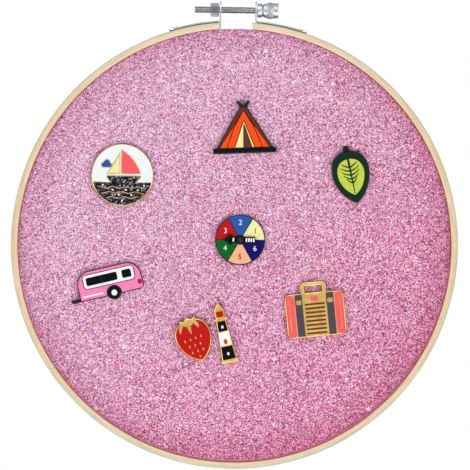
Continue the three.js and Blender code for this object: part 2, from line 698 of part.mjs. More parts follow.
function suitcase() {
  const half = SUITCASE_WIDTH / 2;
  const base = -(SUITCASE_HEIGHT + HANDLE_RISE) / 2;
  const lid = base + SUITCASE_HEIGHT;
  const bottom = base + RIM_WIDTH;
  const ceiling = lid - RIM_WIDTH;
  const strapMiddle = STRAP_SPREAD / 2;
  const strapInner = strapMiddle - STRAP_WIDTH / 2;
  const strapOuter = strapMiddle + STRAP_WIDTH / 2;
  const corner = SUITCASE_CORNER - RIM_WIDTH;
  const panel = (from, to, round) => roundedBox(from, bottom, to, ceiling, round);
  const grip = lid + HANDLE_RISE;
  return {
    outline: roundedBox(-half, base, half, lid, SUITCASE_CORNER),
    stem: roundedBox(-HANDLE_WIDTH / 2, lid - HANDLE_BAR, HANDLE_WIDTH / 2, grip, HANDLE_BAR),
    window: roundedBox(
      -HANDLE_WIDTH / 2 + HANDLE_BAR, lid, HANDLE_WIDTH / 2 - HANDLE_BAR, grip - HANDLE_BAR, HANDLE_BAR / 3,
    ),
    cells: [
      ["suitcase_left_panel", panel(-half + RIM_WIDTH, -strapOuter - LINE_WIDTH, corner), "#f2616c"],
      ["suitcase_left_strap", panel(-strapOuter, -strapInner, LINE_WIDTH), "#4d4a50"],
      ["suitcase_right_strap", panel(strapInner, strapOuter, LINE_WIDTH), "#4d4a50"],
      ["suitcase_right_panel", panel(strapOuter + LINE_WIDTH, half - RIM_WIDTH, corner), "#f2616c"],
    ],
    metal: gold,
    posts: [[-postSpread, base + SUITCASE_HEIGHT / 2], [postSpread, base + SUITCASE_HEIGHT / 2]],
  };
}

// A cell's body with its outline grown a little, for the pocket, or as drawn, for the enamel.
function cellBody(cells, index, growth, back, front) {
  const extrude = (points) => solid(slab(new THREE.Shape(points), back, front));
  const over = cells.slice(index + 1).map(([, points]) => extrude(grow(points, LINE_WIDTH - growth)));
  return cut(extrude(grow(cells[index][1], growth)), over);
}

function post([x, z]) {
  const radius = POST_DIAMETER / 2;
  const root = plateBack - PLATE_THICKNESS / 4;
  const profile = [[0, root], [radius, root], [radius, postTip - POST_POINT], [0, postTip]];
  return turned(profile, POST_STEPS).translate(x, 0, z);
}

// A plate is struck from its outline, keeps a pocket for each cell, and carries its posts.
function plate(art) {
  const floor = plateFront + CELL_DEPTH;
  const beyond = plateFront - CELL_DEPTH;
  const through = (points) => solid(slab(new THREE.Shape(points), 0, 2 * plateFront));
  let body = solid(slab(new THREE.Shape(art.outline), plateBack, plateFront));
  if (art.stem) body = body.add(solid(slab(new THREE.Shape(art.stem), plateBack, plateFront)));
  const tools = art.cells.map((_, i) => cellBody(art.cells, i, CELL_GAP, floor, beyond));
  if (art.window) tools.push(through(art.window));
  for (const bore of art.bores ?? []) tools.push(through(disc(bore, CLUTCH_STEPS)));
  body = cut(body, tools);
  for (const at of art.posts) body = body.add(solid(post(at)));
  return geometryOf(body);
}

function enamelCell(cells, index) {
  const back = plateFront + CELL_DEPTH - CELL_GAP;
  return geometryOf(cellBody(cells, index, 0, back, plateFront + ENAMEL_SINK));
}

// A rubber clutch: a flange against the cloth, a tapered body, and a blind bore that grips the post.
function clutch() {
  const bore = POST_DIAMETER / 2 + CLUTCH_GRIP_CLEARANCE;
  const flangeBack = clutchFront + CLUTCH_FLANGE_THICKNESS;
  const profile = [
    [0, clutchBoreEnd],
    [bore, clutchBoreEnd],
    [bore, clutchFront],
    [CLUTCH_FLANGE_DIAMETER / 2, clutchFront],
    [CLUTCH_FLANGE_DIAMETER / 2, flangeBack],
    [CLUTCH_BODY_DIAMETER / 2, flangeBack],
    [CLUTCH_TIP_DIAMETER / 2, clutchBack],
    [0, clutchBack],
  ];
  return turned(profile, CLUTCH_STEPS);
}

// The pointer, drawn towards -X about its rivet, and the rivet that it turns on.
const pointerBack = plateFront - POINTER_LIFT;
const pointerFront = pointerBack - POINTER_THICKNESS;

function pointer() {
  const shaft = POINTER_WIDTH / 2;
  const neck = -POINTER_LENGTH + POINTER_HEAD_LENGTH;
  const arrow = polygon([
    [-POINTER_LENGTH, 0],
    [neck, -POINTER_HEAD_WIDTH / 2],
    [neck, -shaft],
    [POINTER_TAIL, -shaft],
    [POINTER_TAIL, shaft],
    [neck, shaft],
    [neck, POINTER_HEAD_WIDTH / 2],
  ]);
  const boss = disc(POINTER_BOSS_DIAMETER / 2, CLAMP_STEPS);
  const bore = disc(POINTER_RIVET_DIAMETER / 2 + POINTER_CLEARANCE, CLUTCH_STEPS);
  const extrude = (points) => solid(slab(new THREE.Shape(points), pointerBack, pointerFront));
  const hole = solid(slab(new THREE.Shape(bore), 0, 2 * pointerFront));
  return geometryOf(cut(extrude(arrow).add(extrude(boss)), [hole]));
}

function pointerRivet() {
  const seat = pointerFront - POINTER_CLEARANCE;
  const profile = [
    [0, seat - POINTER_RIVET_HEAD_HEIGHT],
    [DOME_SHOULDER * POINTER_RIVET_HEAD_DIAMETER / 2, seat - DOME_SHOULDER * POINTER_RIVET_HEAD_HEIGHT],
    [POINTER_RIVET_HEAD_DIAMETER / 2, seat],
    [POINTER_RIVET_DIAMETER / 2, seat],
    [POINTER_RIVET_DIAMETER / 2, plateBack],
    [0, plateBack],
  ];
  return turned(profile, CLUTCH_STEPS);
}

// The pins: their artwork, their places and how far each is turned, in degrees.
const PINS = [
  { name: "sailboat", art: sailboat(), at: [SAILBOAT_RIGHT, SAILBOAT_ABOVE], turn: 0 },
  { name: "tent", art: tent(), at: [TENT_RIGHT, TENT_ABOVE], turn: 3 },
  { name: "leaf", art: leaf(), at: [LEAF_RIGHT, LEAF_ABOVE], turn: 13 },
  { name: "spinner", art: spinner(), at: [SPINNER_RIGHT, SPINNER_ABOVE], turn: 0 },
  { name: "caravan", art: caravan(), at: [CARAVAN_RIGHT, CARAVAN_ABOVE], turn: 14 },
  { name: "strawberry", art: strawberry(), at: [STRAWBERRY_RIGHT, STRAWBERRY_ABOVE], turn: 22 },
  { name: "lighthouse", art: lighthouse(), at: [LIGHTHOUSE_RIGHT, LIGHTHOUSE_ABOVE], turn: 13.5 },
  { name: "suitcase", art: suitcase(), at: [SUITCASE_RIGHT, SUITCASE_ABOVE], turn: 6.5 },
];

// A pin's post as a place on the cloth: turned with the pin, then moved to it.
function postPlace(pin, [x, z]) {
  const turn = THREE.MathUtils.degToRad(pin.turn);
  return new THREE.Vector2(x, z).rotateAround(new THREE.Vector2(), turn).add(new THREE.Vector2(...pin.at));
}

// The assembly.
const hoop = new THREE.Group();
hoop.position.z = -hangHeight;

place(hoop, "outer_hoop_left", outerHalf(-1, leftWoodEnd), wood());
place(hoop, "outer_hoop_right", outerHalf(1, rightWoodEnd), wood());
place(hoop, "inner_hoop", innerHoop(), wood());
const postPlaces = PINS.flatMap((pin) => pin.art.posts.map((at) => postPlace(pin, at)));
place(hoop, "cloth_face", clothFace(postPlaces), cloth());
place(hoop, "cloth_band", clothBand(), cloth());

place(hoop, "bracket_left", bracket(-1, SWING_CLEARANCE, outerBore), sheetSteel());
place(hoop, "bracket_right", bracket(1, TURNING_CLEARANCE, footInner + SHEET_THICKNESS / 2), sheetSteel());
place(hoop, "rivet_left", rivet(-1), plated());
place(hoop, "rivet_right", rivet(1), plated());
place(hoop, "hex_nut", hexNut(), plated());
place(hoop, "thumbscrew", thumbscrew(), plated());

for (const { name, art, at, turn } of PINS) {
  const pin = new THREE.Group();
  pin.position.set(at[0], 0, at[1]);
  pin.rotation.y = -THREE.MathUtils.degToRad(turn);
  place(pin, `${name}_plate`, plate(art), art.metal());
  art.cells.forEach(([cell, , colour], i) => place(pin, cell, enamelCell(art.cells, i), enamel(colour)));
  art.posts.forEach(([x, z], i) => {
    place(pin, `${name}_clutch_${i + 1}`, clutch(), rubber()).position.set(x, 0, z);
  });
  if (name === "spinner") {
    place(pin, "spinner_pointer", pointer(), enamel("#111114"));
    place(pin, "spinner_rivet", pointerRivet(), darkNickel());
  }
  hoop.add(pin);
}

const display = new THREE.Group();
display.name = "pin_display_hoop";
display.add(hoop);

export default display;
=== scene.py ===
# %% [markdown]
# # Dressing a pin display hoop
# The object is a wooden embroidery hoop with a disc of pink glitter cloth stretched in it. Eight enamel pins
# are pushed through the cloth, and rubber clutches hold them behind it. The measured solids come first, as a
# fixed frame: they say where everything is and what moves. This lesson then makes the surfaces that the eye
# meets: grain, glitter, plating, enamel and rubber.

# %% Load the frame
import json
import math

import bmesh
import bpy
import numpy as np
from mathutils import Matrix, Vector
from mathutils.geometry import delaunay_2d_cdt


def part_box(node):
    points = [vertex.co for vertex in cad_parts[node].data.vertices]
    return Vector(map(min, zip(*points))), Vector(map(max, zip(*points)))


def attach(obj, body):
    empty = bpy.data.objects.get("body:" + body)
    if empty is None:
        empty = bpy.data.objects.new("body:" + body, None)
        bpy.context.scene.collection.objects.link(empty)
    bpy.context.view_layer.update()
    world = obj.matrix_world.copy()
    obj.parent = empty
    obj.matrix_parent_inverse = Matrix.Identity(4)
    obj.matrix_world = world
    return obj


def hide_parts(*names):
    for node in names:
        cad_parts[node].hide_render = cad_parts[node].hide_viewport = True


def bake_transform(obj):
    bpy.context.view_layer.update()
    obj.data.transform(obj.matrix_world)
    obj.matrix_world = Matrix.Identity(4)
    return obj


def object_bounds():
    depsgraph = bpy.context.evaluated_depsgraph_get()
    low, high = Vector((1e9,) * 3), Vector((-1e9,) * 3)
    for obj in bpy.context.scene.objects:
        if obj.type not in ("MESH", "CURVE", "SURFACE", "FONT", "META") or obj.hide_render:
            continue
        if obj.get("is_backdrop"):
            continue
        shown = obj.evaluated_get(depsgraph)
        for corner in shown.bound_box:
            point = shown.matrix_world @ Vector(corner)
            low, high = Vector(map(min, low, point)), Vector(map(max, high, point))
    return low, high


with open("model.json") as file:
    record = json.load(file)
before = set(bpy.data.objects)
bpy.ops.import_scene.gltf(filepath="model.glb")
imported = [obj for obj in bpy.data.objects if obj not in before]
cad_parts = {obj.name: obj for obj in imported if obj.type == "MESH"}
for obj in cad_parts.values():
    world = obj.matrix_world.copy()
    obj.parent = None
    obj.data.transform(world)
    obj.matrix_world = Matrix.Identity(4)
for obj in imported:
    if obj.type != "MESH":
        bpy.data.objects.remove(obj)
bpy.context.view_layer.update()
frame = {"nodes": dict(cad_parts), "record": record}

MM = 0.001

# %% [markdown]
# ## Sizes
# A dressed piece has to lie where its solid lies, or the joints would no longer fit it. So nearly every
# size is read from the frame: the hoops give their radii and edges, the screw its axis. Only a few walls are
# hidden inside a solid, and these are written down, in millimetres.


# %% Reading the frame
def corners(node):
    """Lowest and highest corner of a node of the frame, in millimetres."""
    low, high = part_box(node)
    return np.array(low) / MM, np.array(high) / MM


def vertices(node):
    """All corner points of a node of the frame, in millimetres."""
    mesh = frame["nodes"][node].data
    flat = np.zeros(3 * len(mesh.vertices), np.float32)
    mesh.vertices.foreach_get("co", flat)
    return flat.reshape(-1, 3).astype(float) / MM


print("the thumbscrew's solid has", len(vertices("thumbscrew")), "corner points")

# %% Sizes of the hoops and the clamp
OUTER_WALL, INNER_WALL = 3.1, 3.8

outer_low, outer_high = corners("outer_hoop_left")
inner_low, inner_high = corners("inner_hoop")
face_low, face_high = corners("cloth_face")
hem_back = corners("cloth_band")[1][1]
screw_low, screw_high = corners("thumbscrew")
pin_front = corners("sailboat_plate")[0][1]
hoop_z = (inner_low[2] + inner_high[2]) / 2
screw_z = (screw_low[2] + screw_high[2]) / 2
outer_radius, inner_radius = -outer_low[0], inner_high[0]
outer_bore, inner_bore = outer_radius - OUTER_WALL, inner_radius - INNER_WALL


def sawn_end(node, side):
    """How far from the middle one half of the outer hoop stops at the top."""
    points = vertices(node)
    return (side * points[points[:, 2] > hoop_z, 0]).min()


left_end, right_end = sawn_end("outer_hoop_left", -1), sawn_end("outer_hoop_right", 1)
print(f"hoop {2 * outer_radius:.1f} mm, centre {hoop_z:.2f}, gap from {-left_end:.2f} to {right_end:.2f}")

# %% [markdown]
# ## Shader sums written as Python
# A finish is easier to read as an expression than as a web of wires. `Value` wraps one socket, so that
# `1 - mask` or `grain * 0.3 + 0.4` adds the Math nodes by itself. `Nodes` holds one node tree, and its `node`
# method makes any other node from its type, its settings and what goes into its sockets. `Patterns` adds what
# is read at a point, and `Finish` is such a tree for one material, with a Principled shader at its end.


# %% A socket that can be added and multiplied
def operator(operation, swapped=False):
    """A method that adds one Math node: its own value goes in first, or second if swapped."""
    def apply(self, other):
        """The node's result, from this value and the other one."""
        return self.math(operation, *((other, self) if swapped else (self, other)))
    return apply


class Value:
    """A number that changes over a surface: one socket, whose operators add Math nodes."""

    def __init__(self, socket):
        self.socket = socket

    def math(self, operation, *operands):
        """A Math node of any operation, on Values or plain numbers."""
        made = self.socket.id_data.nodes.new("ShaderNodeMath")
        made.operation = operation
        for entry, item in zip(made.inputs, operands):
            plug(entry, item)
        return Value(made.outputs[0])

    __add__ = __radd__ = operator("ADD")
    __mul__ = __rmul__ = operator("MULTIPLY")
    __sub__, __rsub__ = operator("SUBTRACT"), operator("SUBTRACT", swapped=True)
    __truediv__, __rtruediv__ = operator("DIVIDE"), operator("DIVIDE", swapped=True)
    __pow__, __gt__, __lt__ = operator("POWER"), operator("GREATER_THAN"), operator("LESS_THAN")

    def sine(self):
        """The sine of the value, in radians."""
        return self.math("SINE", self)

    def clipped(self):
        """The value kept between 0 and 1."""
        return self.math("MINIMUM", self.math("MAXIMUM", self, 0.0), 1.0)

    def rise(self, low, high):
        """0 up to low, 1 from high on, and an even rise between them."""
        return ((self - low) / (high - low)).clipped()


def plug(entry, item):
    """Links a Value to an input, or sets the input to a plain number, vector or colour."""
    if isinstance(item, Value):
        entry.id_data.links.new(item.socket, entry)
    else:
        entry.default_value = item


print("a Value can be added, multiplied and compared")


# %% Node trees
class Nodes:
    """One node tree, which takes any node, and short ways to the commonest ones."""

    def __init__(self, tree):
        self.tree = tree

    def node(self, kind, settings=None, inputs=None, out=0):
        """Any node: its type, its settings (a ramp's stops too), its inputs, and the output wanted."""
        made = self.tree.nodes.new("ShaderNode" + kind)
        for name, value in (settings or {}).items():
            if name == "stops":
                ramp = made.color_ramp
                while len(ramp.elements) < len(value):
                    ramp.elements.new(0.5)
                for element, (at, colour) in zip(ramp.elements, value):
                    element.position = at
                    element.color = colour
            else:
                setattr(made, name, value)
        for name, item in (inputs or {}).items():
            plug(made.inputs[name], item)
        return Value(made.outputs[out])

    def parts(self, kind, item):
        """The three outputs of a node that takes a vector or a colour apart."""
        made = self.node(kind, inputs={0: item}).socket.node
        return [Value(made.outputs[index]) for index in range(3)]

    def vector(self, x, y, z):
        """Three values as one vector."""
        return self.node("CombineXYZ", inputs={0: x, 1: y, 2: z})

    def ramp(self, value, stops):
        """A value as a colour: an even blend between the stops on either side of it."""
        return self.node("ValToRGB", {"stops": stops}, {0: value})

    def mix(self, factor, first, second, blend="MIX"):
        """The second colour over the first, or multiplied with it, as far as the factor says."""
        settings = {"data_type": "RGBA", "blend_type": blend}
        return self.node("Mix", settings, {0: factor, 6: first, 7: second}, out=2)

    def bump(self, height, strength, distance):
        """A normal that leans as if the surface rose by height times distance, in metres."""
        return self.node("Bump", inputs={"Height": height, "Strength": strength, "Distance": distance})


print("any node can be made")


# %% Places and patterns
class Patterns(Nodes):
    """What is read at a point: its place, a random pattern there, and which rays see it."""

    def at(self):
        """Where a point lies in the hoop's frame, in metres, as one vector."""
        return self.node("TexCoord", out="Object")

    def place(self):
        """Where a point lies in the hoop's frame, in millimetres, as three values."""
        return [part * (1 / MM) for part in self.parts("SeparateXYZ", self.at())]

    def on_hoop(self):
        """To the right, to the back, up from the hoop's centre, and the distance from it, in millimetres."""
        x, y, z = self.place()
        up = z - hoop_z
        return x, y, up, (x * x + up * up) ** 0.5

    def noise(self, at, scale, detail=2.0, roughness=0.5):
        """A smooth random number over a place; a low scale makes it slow, detail adds finer layers."""
        inputs = {"Vector": at, "Scale": scale, "Detail": detail, "Roughness": roughness}
        return self.node("TexNoise", inputs=inputs)

    def cells(self, at, size, out="Color"):
        """Cells about `size` millimetres wide, each round one of many scattered points: a random colour for
        each, or another output."""
        return self.node("TexVoronoi", {"feature": "F1"}, {"Vector": at, "Scale": 1 / (size * MM)}, out)

    def seen(self):
        """1 for the camera, a reflection or a look through glass, 0 for light that falls on things."""
        camera, glossy, through = (self.node("LightPath", out=f"Is {kind} Ray")
                                   for kind in ("Camera", "Glossy", "Transmission"))
        return (camera + glossy + through).clipped()


print("places are read in the hoop's frame")


# %% A material and its colours
class Finish(Patterns):
    """One material with a Principled shader. Plain numbers are set on its sockets when it is made."""

    def __init__(self, name, **settings):
        self.material = bpy.data.materials.new(name)
        self.material.use_nodes = True
        super().__init__(self.material.node_tree)
        self.shader = self.tree.nodes["Principled BSDF"]
        for socket, value in settings.items():
            self.feed(socket.replace("_", " "), value)

    def feed(self, socket, value):
        """Links or sets one socket of the Principled shader."""
        plug(self.shader.inputs[socket], value)


def paint(red, green, blue):
    """A colour as a screen shows it, 0 to 255, in the linear light that shaders count in."""
    shown = np.array([red, green, blue]) / 255
    linear = np.where(shown <= 0.04045, shown / 12.92, ((shown + 0.055) / 1.055) ** 2.4)
    return (*linear.tolist(), 1.0)


print("shader helpers ready")

# %% [markdown]
# ## Finish: the bent wood
# The hoops are strips of pale wood bent round a form, so the grain runs round the hoop. A picture of wood
# would have to be cut and bent to do the same. A noise that is fine across the strip and slow along it gives
# such streaks at once. It is read at the radius, the depth, and the cosine and sine of the angle, so the
# streaks close on themselves with no seam at the bottom.

# %% Wood
PALE_WOOD = [(0.3, paint(192, 158, 118)), (0.46, paint(222, 190, 152)), (0.6, paint(236, 206, 170)),
             (0.78, paint(243, 220, 190))]
# The last colour here is painted shade: a brownish dark line along the front edge of the bore, by the cloth.
PORE, BLEACHED, BORE_SHADE = paint(168, 128, 82), paint(236, 218, 198), paint(178, 108, 98)
# Both multipliers are painted shade: the first tints the front greyer towards its rounded outer edge, the
# second darkens the lower outer edge.
OUTER_EDGE_SHADE, LOWER_EDGE_SHADE = (0.8, 0.98, 0.98, 1), (0.72, 0.8, 0.86, 1)
BORE_SHADE_REACH, BORE_SHADE_RISE = 0.2, 8.0
FRONT_EDGE, BORE_EDGE = -3.2, -2.0


def wood(name, beside_cloth):
    """Streaks from noise at (radius, depth, cos, sin); beside the cloth, the front's edges get painted shade.
    """
    finish = Finish(name, IOR=1.45)
    x, y, up, radius = finish.on_hoop()
    around, across = x / radius, up / radius

    def streaks(fine, slow, detail):
        """Noise that changes quickly across the strip and slowly along it."""
        at = finish.vector(radius * fine, y * fine, across * slow)
        inputs = {"Vector": at, "W": around * slow, "Scale": 1.0, "Detail": detail, "Roughness": 0.6}
        return finish.node("TexNoise", {"noise_dimensions": "4D"}, inputs)

    fibre = streaks(6.0, 40.0, 2.0)
    tone = streaks(1.6, 9.0, 3.0) * 0.7 + fibre * 0.3
    pores = ((streaks(9.0, 26.0, 1.0) - 0.62) * 9.0).clipped()
    colour = finish.mix(pores * 0.45, finish.ramp(tone, PALE_WOOD), PORE)
    colour = finish.mix(across * across * 0.4, colour, BLEACHED)
    if beside_cloth:
        # Painted shade: the front is tinted greyer towards its rounded outer edge.
        outward = radius.rise(outer_bore, outer_radius) * (FRONT_EDGE - y).clipped()
        colour = finish.mix(outward, colour, OUTER_EDGE_SHADE, "MULTIPLY")
        # Painted shade: the outer edge of the front is darker still towards the bottom of the hoop.
        colour = finish.mix(outward * outward * (across * -1.0).clipped(), colour, LOWER_EDGE_SHADE, "MULTIPLY")
        # Painted shade: a brownish line along the front of the bore, where the hoop meets the cloth.
        line = ((outer_bore + BORE_SHADE_REACH - radius) * BORE_SHADE_RISE).clipped() * (BORE_EDGE - y).clipped()
        colour = finish.mix(line * 0.7, colour, BORE_SHADE)
    finish.feed("Base Color", colour)
    finish.feed("Roughness", fibre * 0.3 + 0.42)
    finish.feed("Normal", finish.bump(tone - pores * 0.4, 0.35, 0.00012))
    return finish.material


OUTER_WOOD = wood("outer_hoop_wood", beside_cloth=True)
INNER_WOOD = wood("inner_hoop_wood", beside_cloth=False)
print("wood with grain round the hoop")

# %% [markdown]
# ## Finish: the glitter cloth
# Glitter is thousands of tiny flakes glued on at every angle. As real flakes they would be far too many
# faces, so a pattern of random cells stands for them: each cell of 0.4 mm gets one colour, one tilt and its
# own share of metal. Their pale and lilac colours are partly the flakes' own tone and partly painted sparkle,
# for flakes that catch the light. A slow noise makes the soft blotches of real glitter cloth. The pink
# deepens towards the lower right, a painted falloff of sheen that leaves the upper left paler, and towards
# the edge, as painted shade of the hoop's rim, while painted bounce light lifts the lowest edge to a lighter
# rose. A sparse second pattern drops in a few large flecks of gold, and a few painted white glints.

# %% Glitter
FLAKE, FLECK = 0.4, 6.25
# The pale end of this ramp is partly each flake's own tone and partly painted sparkle, for flakes that catch
# the light.
PINKS = [(0.0, paint(118, 60, 94)), (0.2, paint(166, 104, 139)), (0.5, paint(214, 159, 191)),
         (0.78, paint(234, 189, 217)), (0.92, paint(249, 220, 238)), (1.0, paint(254, 244, 251))]
# Of these colours only the gold is the cloth's own: the lilac is partly painted sparkle, the rose painted
# bounce light at the lowest edge, and the white painted glints.
LILAC, BOUNCE_ROSE, GOLD_FLECK, WHITE_GLINT = (paint(212, 190, 226), paint(250, 142, 172), paint(214, 138, 74),
                                        paint(236, 232, 252))
# The last multiplier is painted shade near the rim; DEEP and HOT follow the slow blotches and a painted
# falloff of sheen.
HOT, DEEP, RIM_SHADE = (0.95, 0.36, 0.55, 1), (0.98, 0.745, 0.82, 1), (0.85, 0.68, 0.74, 1)
RIM_SHADE_FROM, RIM_SHADE_TO = 84.0, 100.0
BOUNCE_FROM, BOUNCE_TO = 98.1, 99.0
TILT = 0.5


def glitter():
    """Per-flake colour from a ramp on a random number, and tilted normals. Slow blotches and a painted
    falloff of sheen deepen the pink; painted shade darkens the rim and painted bounce light lifts its lowest
    edge.
    """
    finish = Finish("glitter_cloth", IOR=1.5, Specular_IOR_Level=0.3)
    at = finish.at()
    x, _, up, radius = finish.on_hoop()
    flakes = finish.cells(at, FLAKE)
    shade, sort, luck = finish.parts("SeparateColor", flakes)
    blotch = finish.noise(at, 75.0, 4.0, 0.65)
    # Deeper pink towards the lower right is a painted falloff of sheen, so the upper left looks paler; the
    # slow noise adds random blotches of real glitter.
    blotch_and_sheen = ((x - up) * 0.005 + 0.39 + (blotch - 0.5) * 1.2).clipped()
    # Painted shade: towards the rim, where the hoop stands in front of the cloth, the flakes get deeper and
    # darker.
    edge = radius.rise(RIM_SHADE_FROM, RIM_SHADE_TO)
    colour = finish.ramp((shade - 0.5) * (blotch_and_sheen * 0.3 + edge * 0.1 + 1.02) + 0.5, PINKS)
    # Partly painted sparkle: bright flakes are turned lilac, as flakes that catch the light.
    colour = finish.mix((luck > 0.8) * shade * 0.7, colour, LILAC)
    hot = (luck < blotch_and_sheen * 0.6 + edge * 0.08 + 0.06) * (1 - shade * 0.5)
    colour = finish.mix(hot, colour, HOT, "MULTIPLY")
    colour = finish.mix(blotch_and_sheen * (sort > 0.45), colour, DEEP, "MULTIPLY")
    colour = finish.mix(edge * (blotch_and_sheen * 0.3 + 0.96), colour, RIM_SHADE, "MULTIPLY")
    # Painted light: a thin band at the lowest edge, in the hoop's shade, is lifted to a lighter rose, as if
    # lit by light bounced from the wood.
    bounce_light = radius.rise(BOUNCE_FROM, BOUNCE_TO) * (up / radius * -1.3).clipped()
    colour = finish.mix(bounce_light * 0.75, colour, BOUNCE_ROSE)
    chance = finish.parts("SeparateColor", finish.cells(at, FLECK))[0]
    near = finish.cells(at, FLECK, "Distance") < 0.16
    colour = finish.mix(near * (chance > 0.96) * 0.7, colour, GOLD_FLECK)
    # Painted glints: a few sparse white spots stand for flakes that flash in the light.
    colour = finish.mix(near * (chance < 0.08) * 0.6, colour, WHITE_GLINT)
    finish.feed("Base Color", colour)
    finish.feed("Metallic", (sort > 0.7) * luck * 0.6)
    finish.feed("Roughness", sort * 0.3 + 0.3)
    spread = {0: flakes, 1: (TILT,) * 3, 2: (-TILT / 2,) * 3}
    lean = finish.node("VectorMath", {"operation": "MULTIPLY_ADD"}, spread)
    normal = finish.node("NewGeometry", out="Normal")
    tilted = finish.node("VectorMath", {"operation": "ADD"}, {0: normal, 1: lean})
    finish.feed("Normal", finish.node("VectorMath", {"operation": "NORMALIZE"}, {0: tilted}))
    return finish.material


GLITTER = glitter()
print(f"glitter with flakes of {FLAKE} mm")

# %% [markdown]
# The back of the cloth has no glitter: it is a plain weave. Real threads would be thousands of thin tubes
# that nobody sees singly, so two crossed waves in a bump stand for them.

# %% Woven back
THREAD = 0.5


def weave():
    """Warp times weft: two crossed sine waves over a slightly uneven pale pink."""
    finish = Finish("cloth_back", Roughness=0.9)
    x, y, z = finish.place()
    turns = 2 * math.pi / THREAD
    threads = (x * turns).sine() * (z * turns).sine() * 0.5 + 0.5
    uneven = finish.noise(finish.vector(x, y, z), 0.35, 4.0)
    shades = [(0.25, paint(196, 150, 170)), (0.75, paint(232, 196, 210))]
    finish.feed("Base Color", finish.ramp(threads * 0.5 + uneven * 0.5, shades))
    finish.feed("Normal", finish.bump(threads, 0.5, 0.0001))
    return finish.material


WEAVE = weave()
print(f"weave of {THREAD} mm threads")

# %% [markdown]
# ## Finish: the metals
# The clamp is plated steel, and the pins are struck from gold or black plated metal. A mirror-smooth metal
# looks like plastic foil, so each plating gets what a real one has: a colour and a roughness that wander a
# little, and fine scratches. The gold pins get painted shade on their sides and pockets, behind the face,
# and the nut a painted glint: its flats far above and below the screw are painted bright.

# %% Metal
NUT_GLINT_FROM, NUT_GLINT_TO = 1.45, 1.62
SIDE_SHADE_FROM, SIDE_SHADE_TO = 0.06, 0.26


def metal(name, dark, bright, smooth, rough, sides=None, glint=None):
    """Colour from a ramp on noise, roughness between two values on noise and scratches; `sides` is painted
    shade for what lies behind a pin's face, `glint` a painted glint on what lies far above or below the
    screw."""
    finish = Finish(name, Metallic=1.0)
    at = finish.at()
    cloud = finish.noise(at, 260.0, 4.0, 0.6)
    scratch = finish.noise(at, 2600.0, 2.0, 0.7)
    colour = finish.ramp(cloud, [(0.3, paint(*dark)), (0.7, paint(*bright))])
    # Painted shade: what lies behind a pin's face, its sides and pockets, is darkened.
    if sides:
        behind = (finish.place()[1] - pin_front).rise(SIDE_SHADE_FROM, SIDE_SHADE_TO)
        colour = finish.mix(behind, colour, paint(*sides))
    # Painted glint: the flats far above and below the screw's axis are painted bright, the middle stays dull.
    if glint:
        above = finish.place()[2] - screw_z
        away = (above * above) ** 0.5
        colour = finish.mix(away.rise(NUT_GLINT_FROM, NUT_GLINT_TO), colour, paint(*glint))
    finish.feed("Base Color", colour)
    finish.feed("Roughness", (cloud * 0.6 + scratch * 0.4) * (rough - smooth) + smooth)
    finish.feed("Normal", finish.bump(scratch, 0.12, 0.00003))
    return finish.material


PLATED = metal("plated_steel", (162, 165, 168), (200, 202, 204), 0.26, 0.44)
# The nut's last colour is a painted glint on its upper and lower flats.
ZINC = metal("zinc_plate", (112, 114, 120), (160, 162, 168), 0.22, 0.4, glint=(236, 237, 240))
THREADED = metal("threaded_steel", (124, 127, 130), (158, 160, 164), 0.14, 0.26)
SHEET = metal("sheet_steel", (182, 184, 186), (218, 219, 220), 0.3, 0.5)
# The gold's last colour is painted shade for the sides of the pins.
GOLD = metal("gold_plate", (228, 176, 96), (254, 218, 134), 0.22, 0.44, sides=(104, 66, 48))
BLACK_NICKEL = metal("black_nickel", (34, 33, 36), (62, 60, 64), 0.16, 0.38)
print("four metals for the clamp and two platings for the pins")

# %% [markdown]
# ## Finish: enamel and rubber
# Soft enamel is poured into the pockets of a pin and baked. It is glossy and nearly even. A flat colour would
# do from afar, but a faint swirl, from a ramp on slow noise, keeps it from looking printed. Two enamels of
# the round pin are richer: one has glitter in it, so each grain takes its own colour from a ramp, and one is
# pearly, so its swirl is wide and changes hue. The clutches are matt black rubber with a pebbled skin.

# %% Enamel
GRAIN = 0.46
STARRY = [(0.5, paint(9, 9, 14)), (0.7, paint(38, 41, 60)), (0.86, paint(86, 94, 118)),
          (0.95, paint(150, 156, 172)), (1.0, paint(236, 237, 240))]
PEARLY = [(0.34, paint(224, 229, 243)), (0.5, paint(231, 237, 236)), (0.66, paint(238, 236, 230))]
COLOURS = {
    "white": (236, 238, 240), "black": (9, 9, 11), "coral": (243, 92, 98), "orange": (250, 78, 20),
    "cream": (234, 230, 162), "dark_green": (18, 44, 33), "leaf_green": (188, 206, 78), "green": (6, 100, 34),
    "blue": (44, 86, 164), "navy": (18, 8, 98), "red": (184, 22, 24), "peach": (240, 176, 136),
    "pink": (250, 130, 180), "grey": (76, 72, 80), "brown": (104, 50, 36),
}


def tones(red, green, blue):
    """Stops for a faint swirl: the colour a touch darker, as it is, and a touch lighter."""
    return [(at, paint(*(min(255, part * share) for part in (red, green, blue))))
            for at, share in ((0.25, 0.95), (0.5, 1.0), (0.75, 1.03))]


def enamel(name, stops, swirl=420.0, grain=None):
    """A clear-coated colour from a ramp on slow noise, or on one random number for each grain of glitter."""
    finish = Finish("enamel_" + name, Coat_Weight=0.04, Coat_Roughness=0.06, IOR=1.45,
                    Specular_IOR_Level=0.14)
    at = finish.at()
    poured = finish.noise(at, swirl, 3.0, 0.55)
    pick = finish.parts("SeparateColor", finish.cells(at, grain))[0] if grain else poured
    finish.feed("Base Color", finish.ramp(pick, stops))
    finish.feed("Roughness", poured * 0.14 + 0.1)
    finish.feed("Normal", finish.bump(finish.noise(at, 700.0, 1.0), 0.04, 0.0001))
    return finish.material


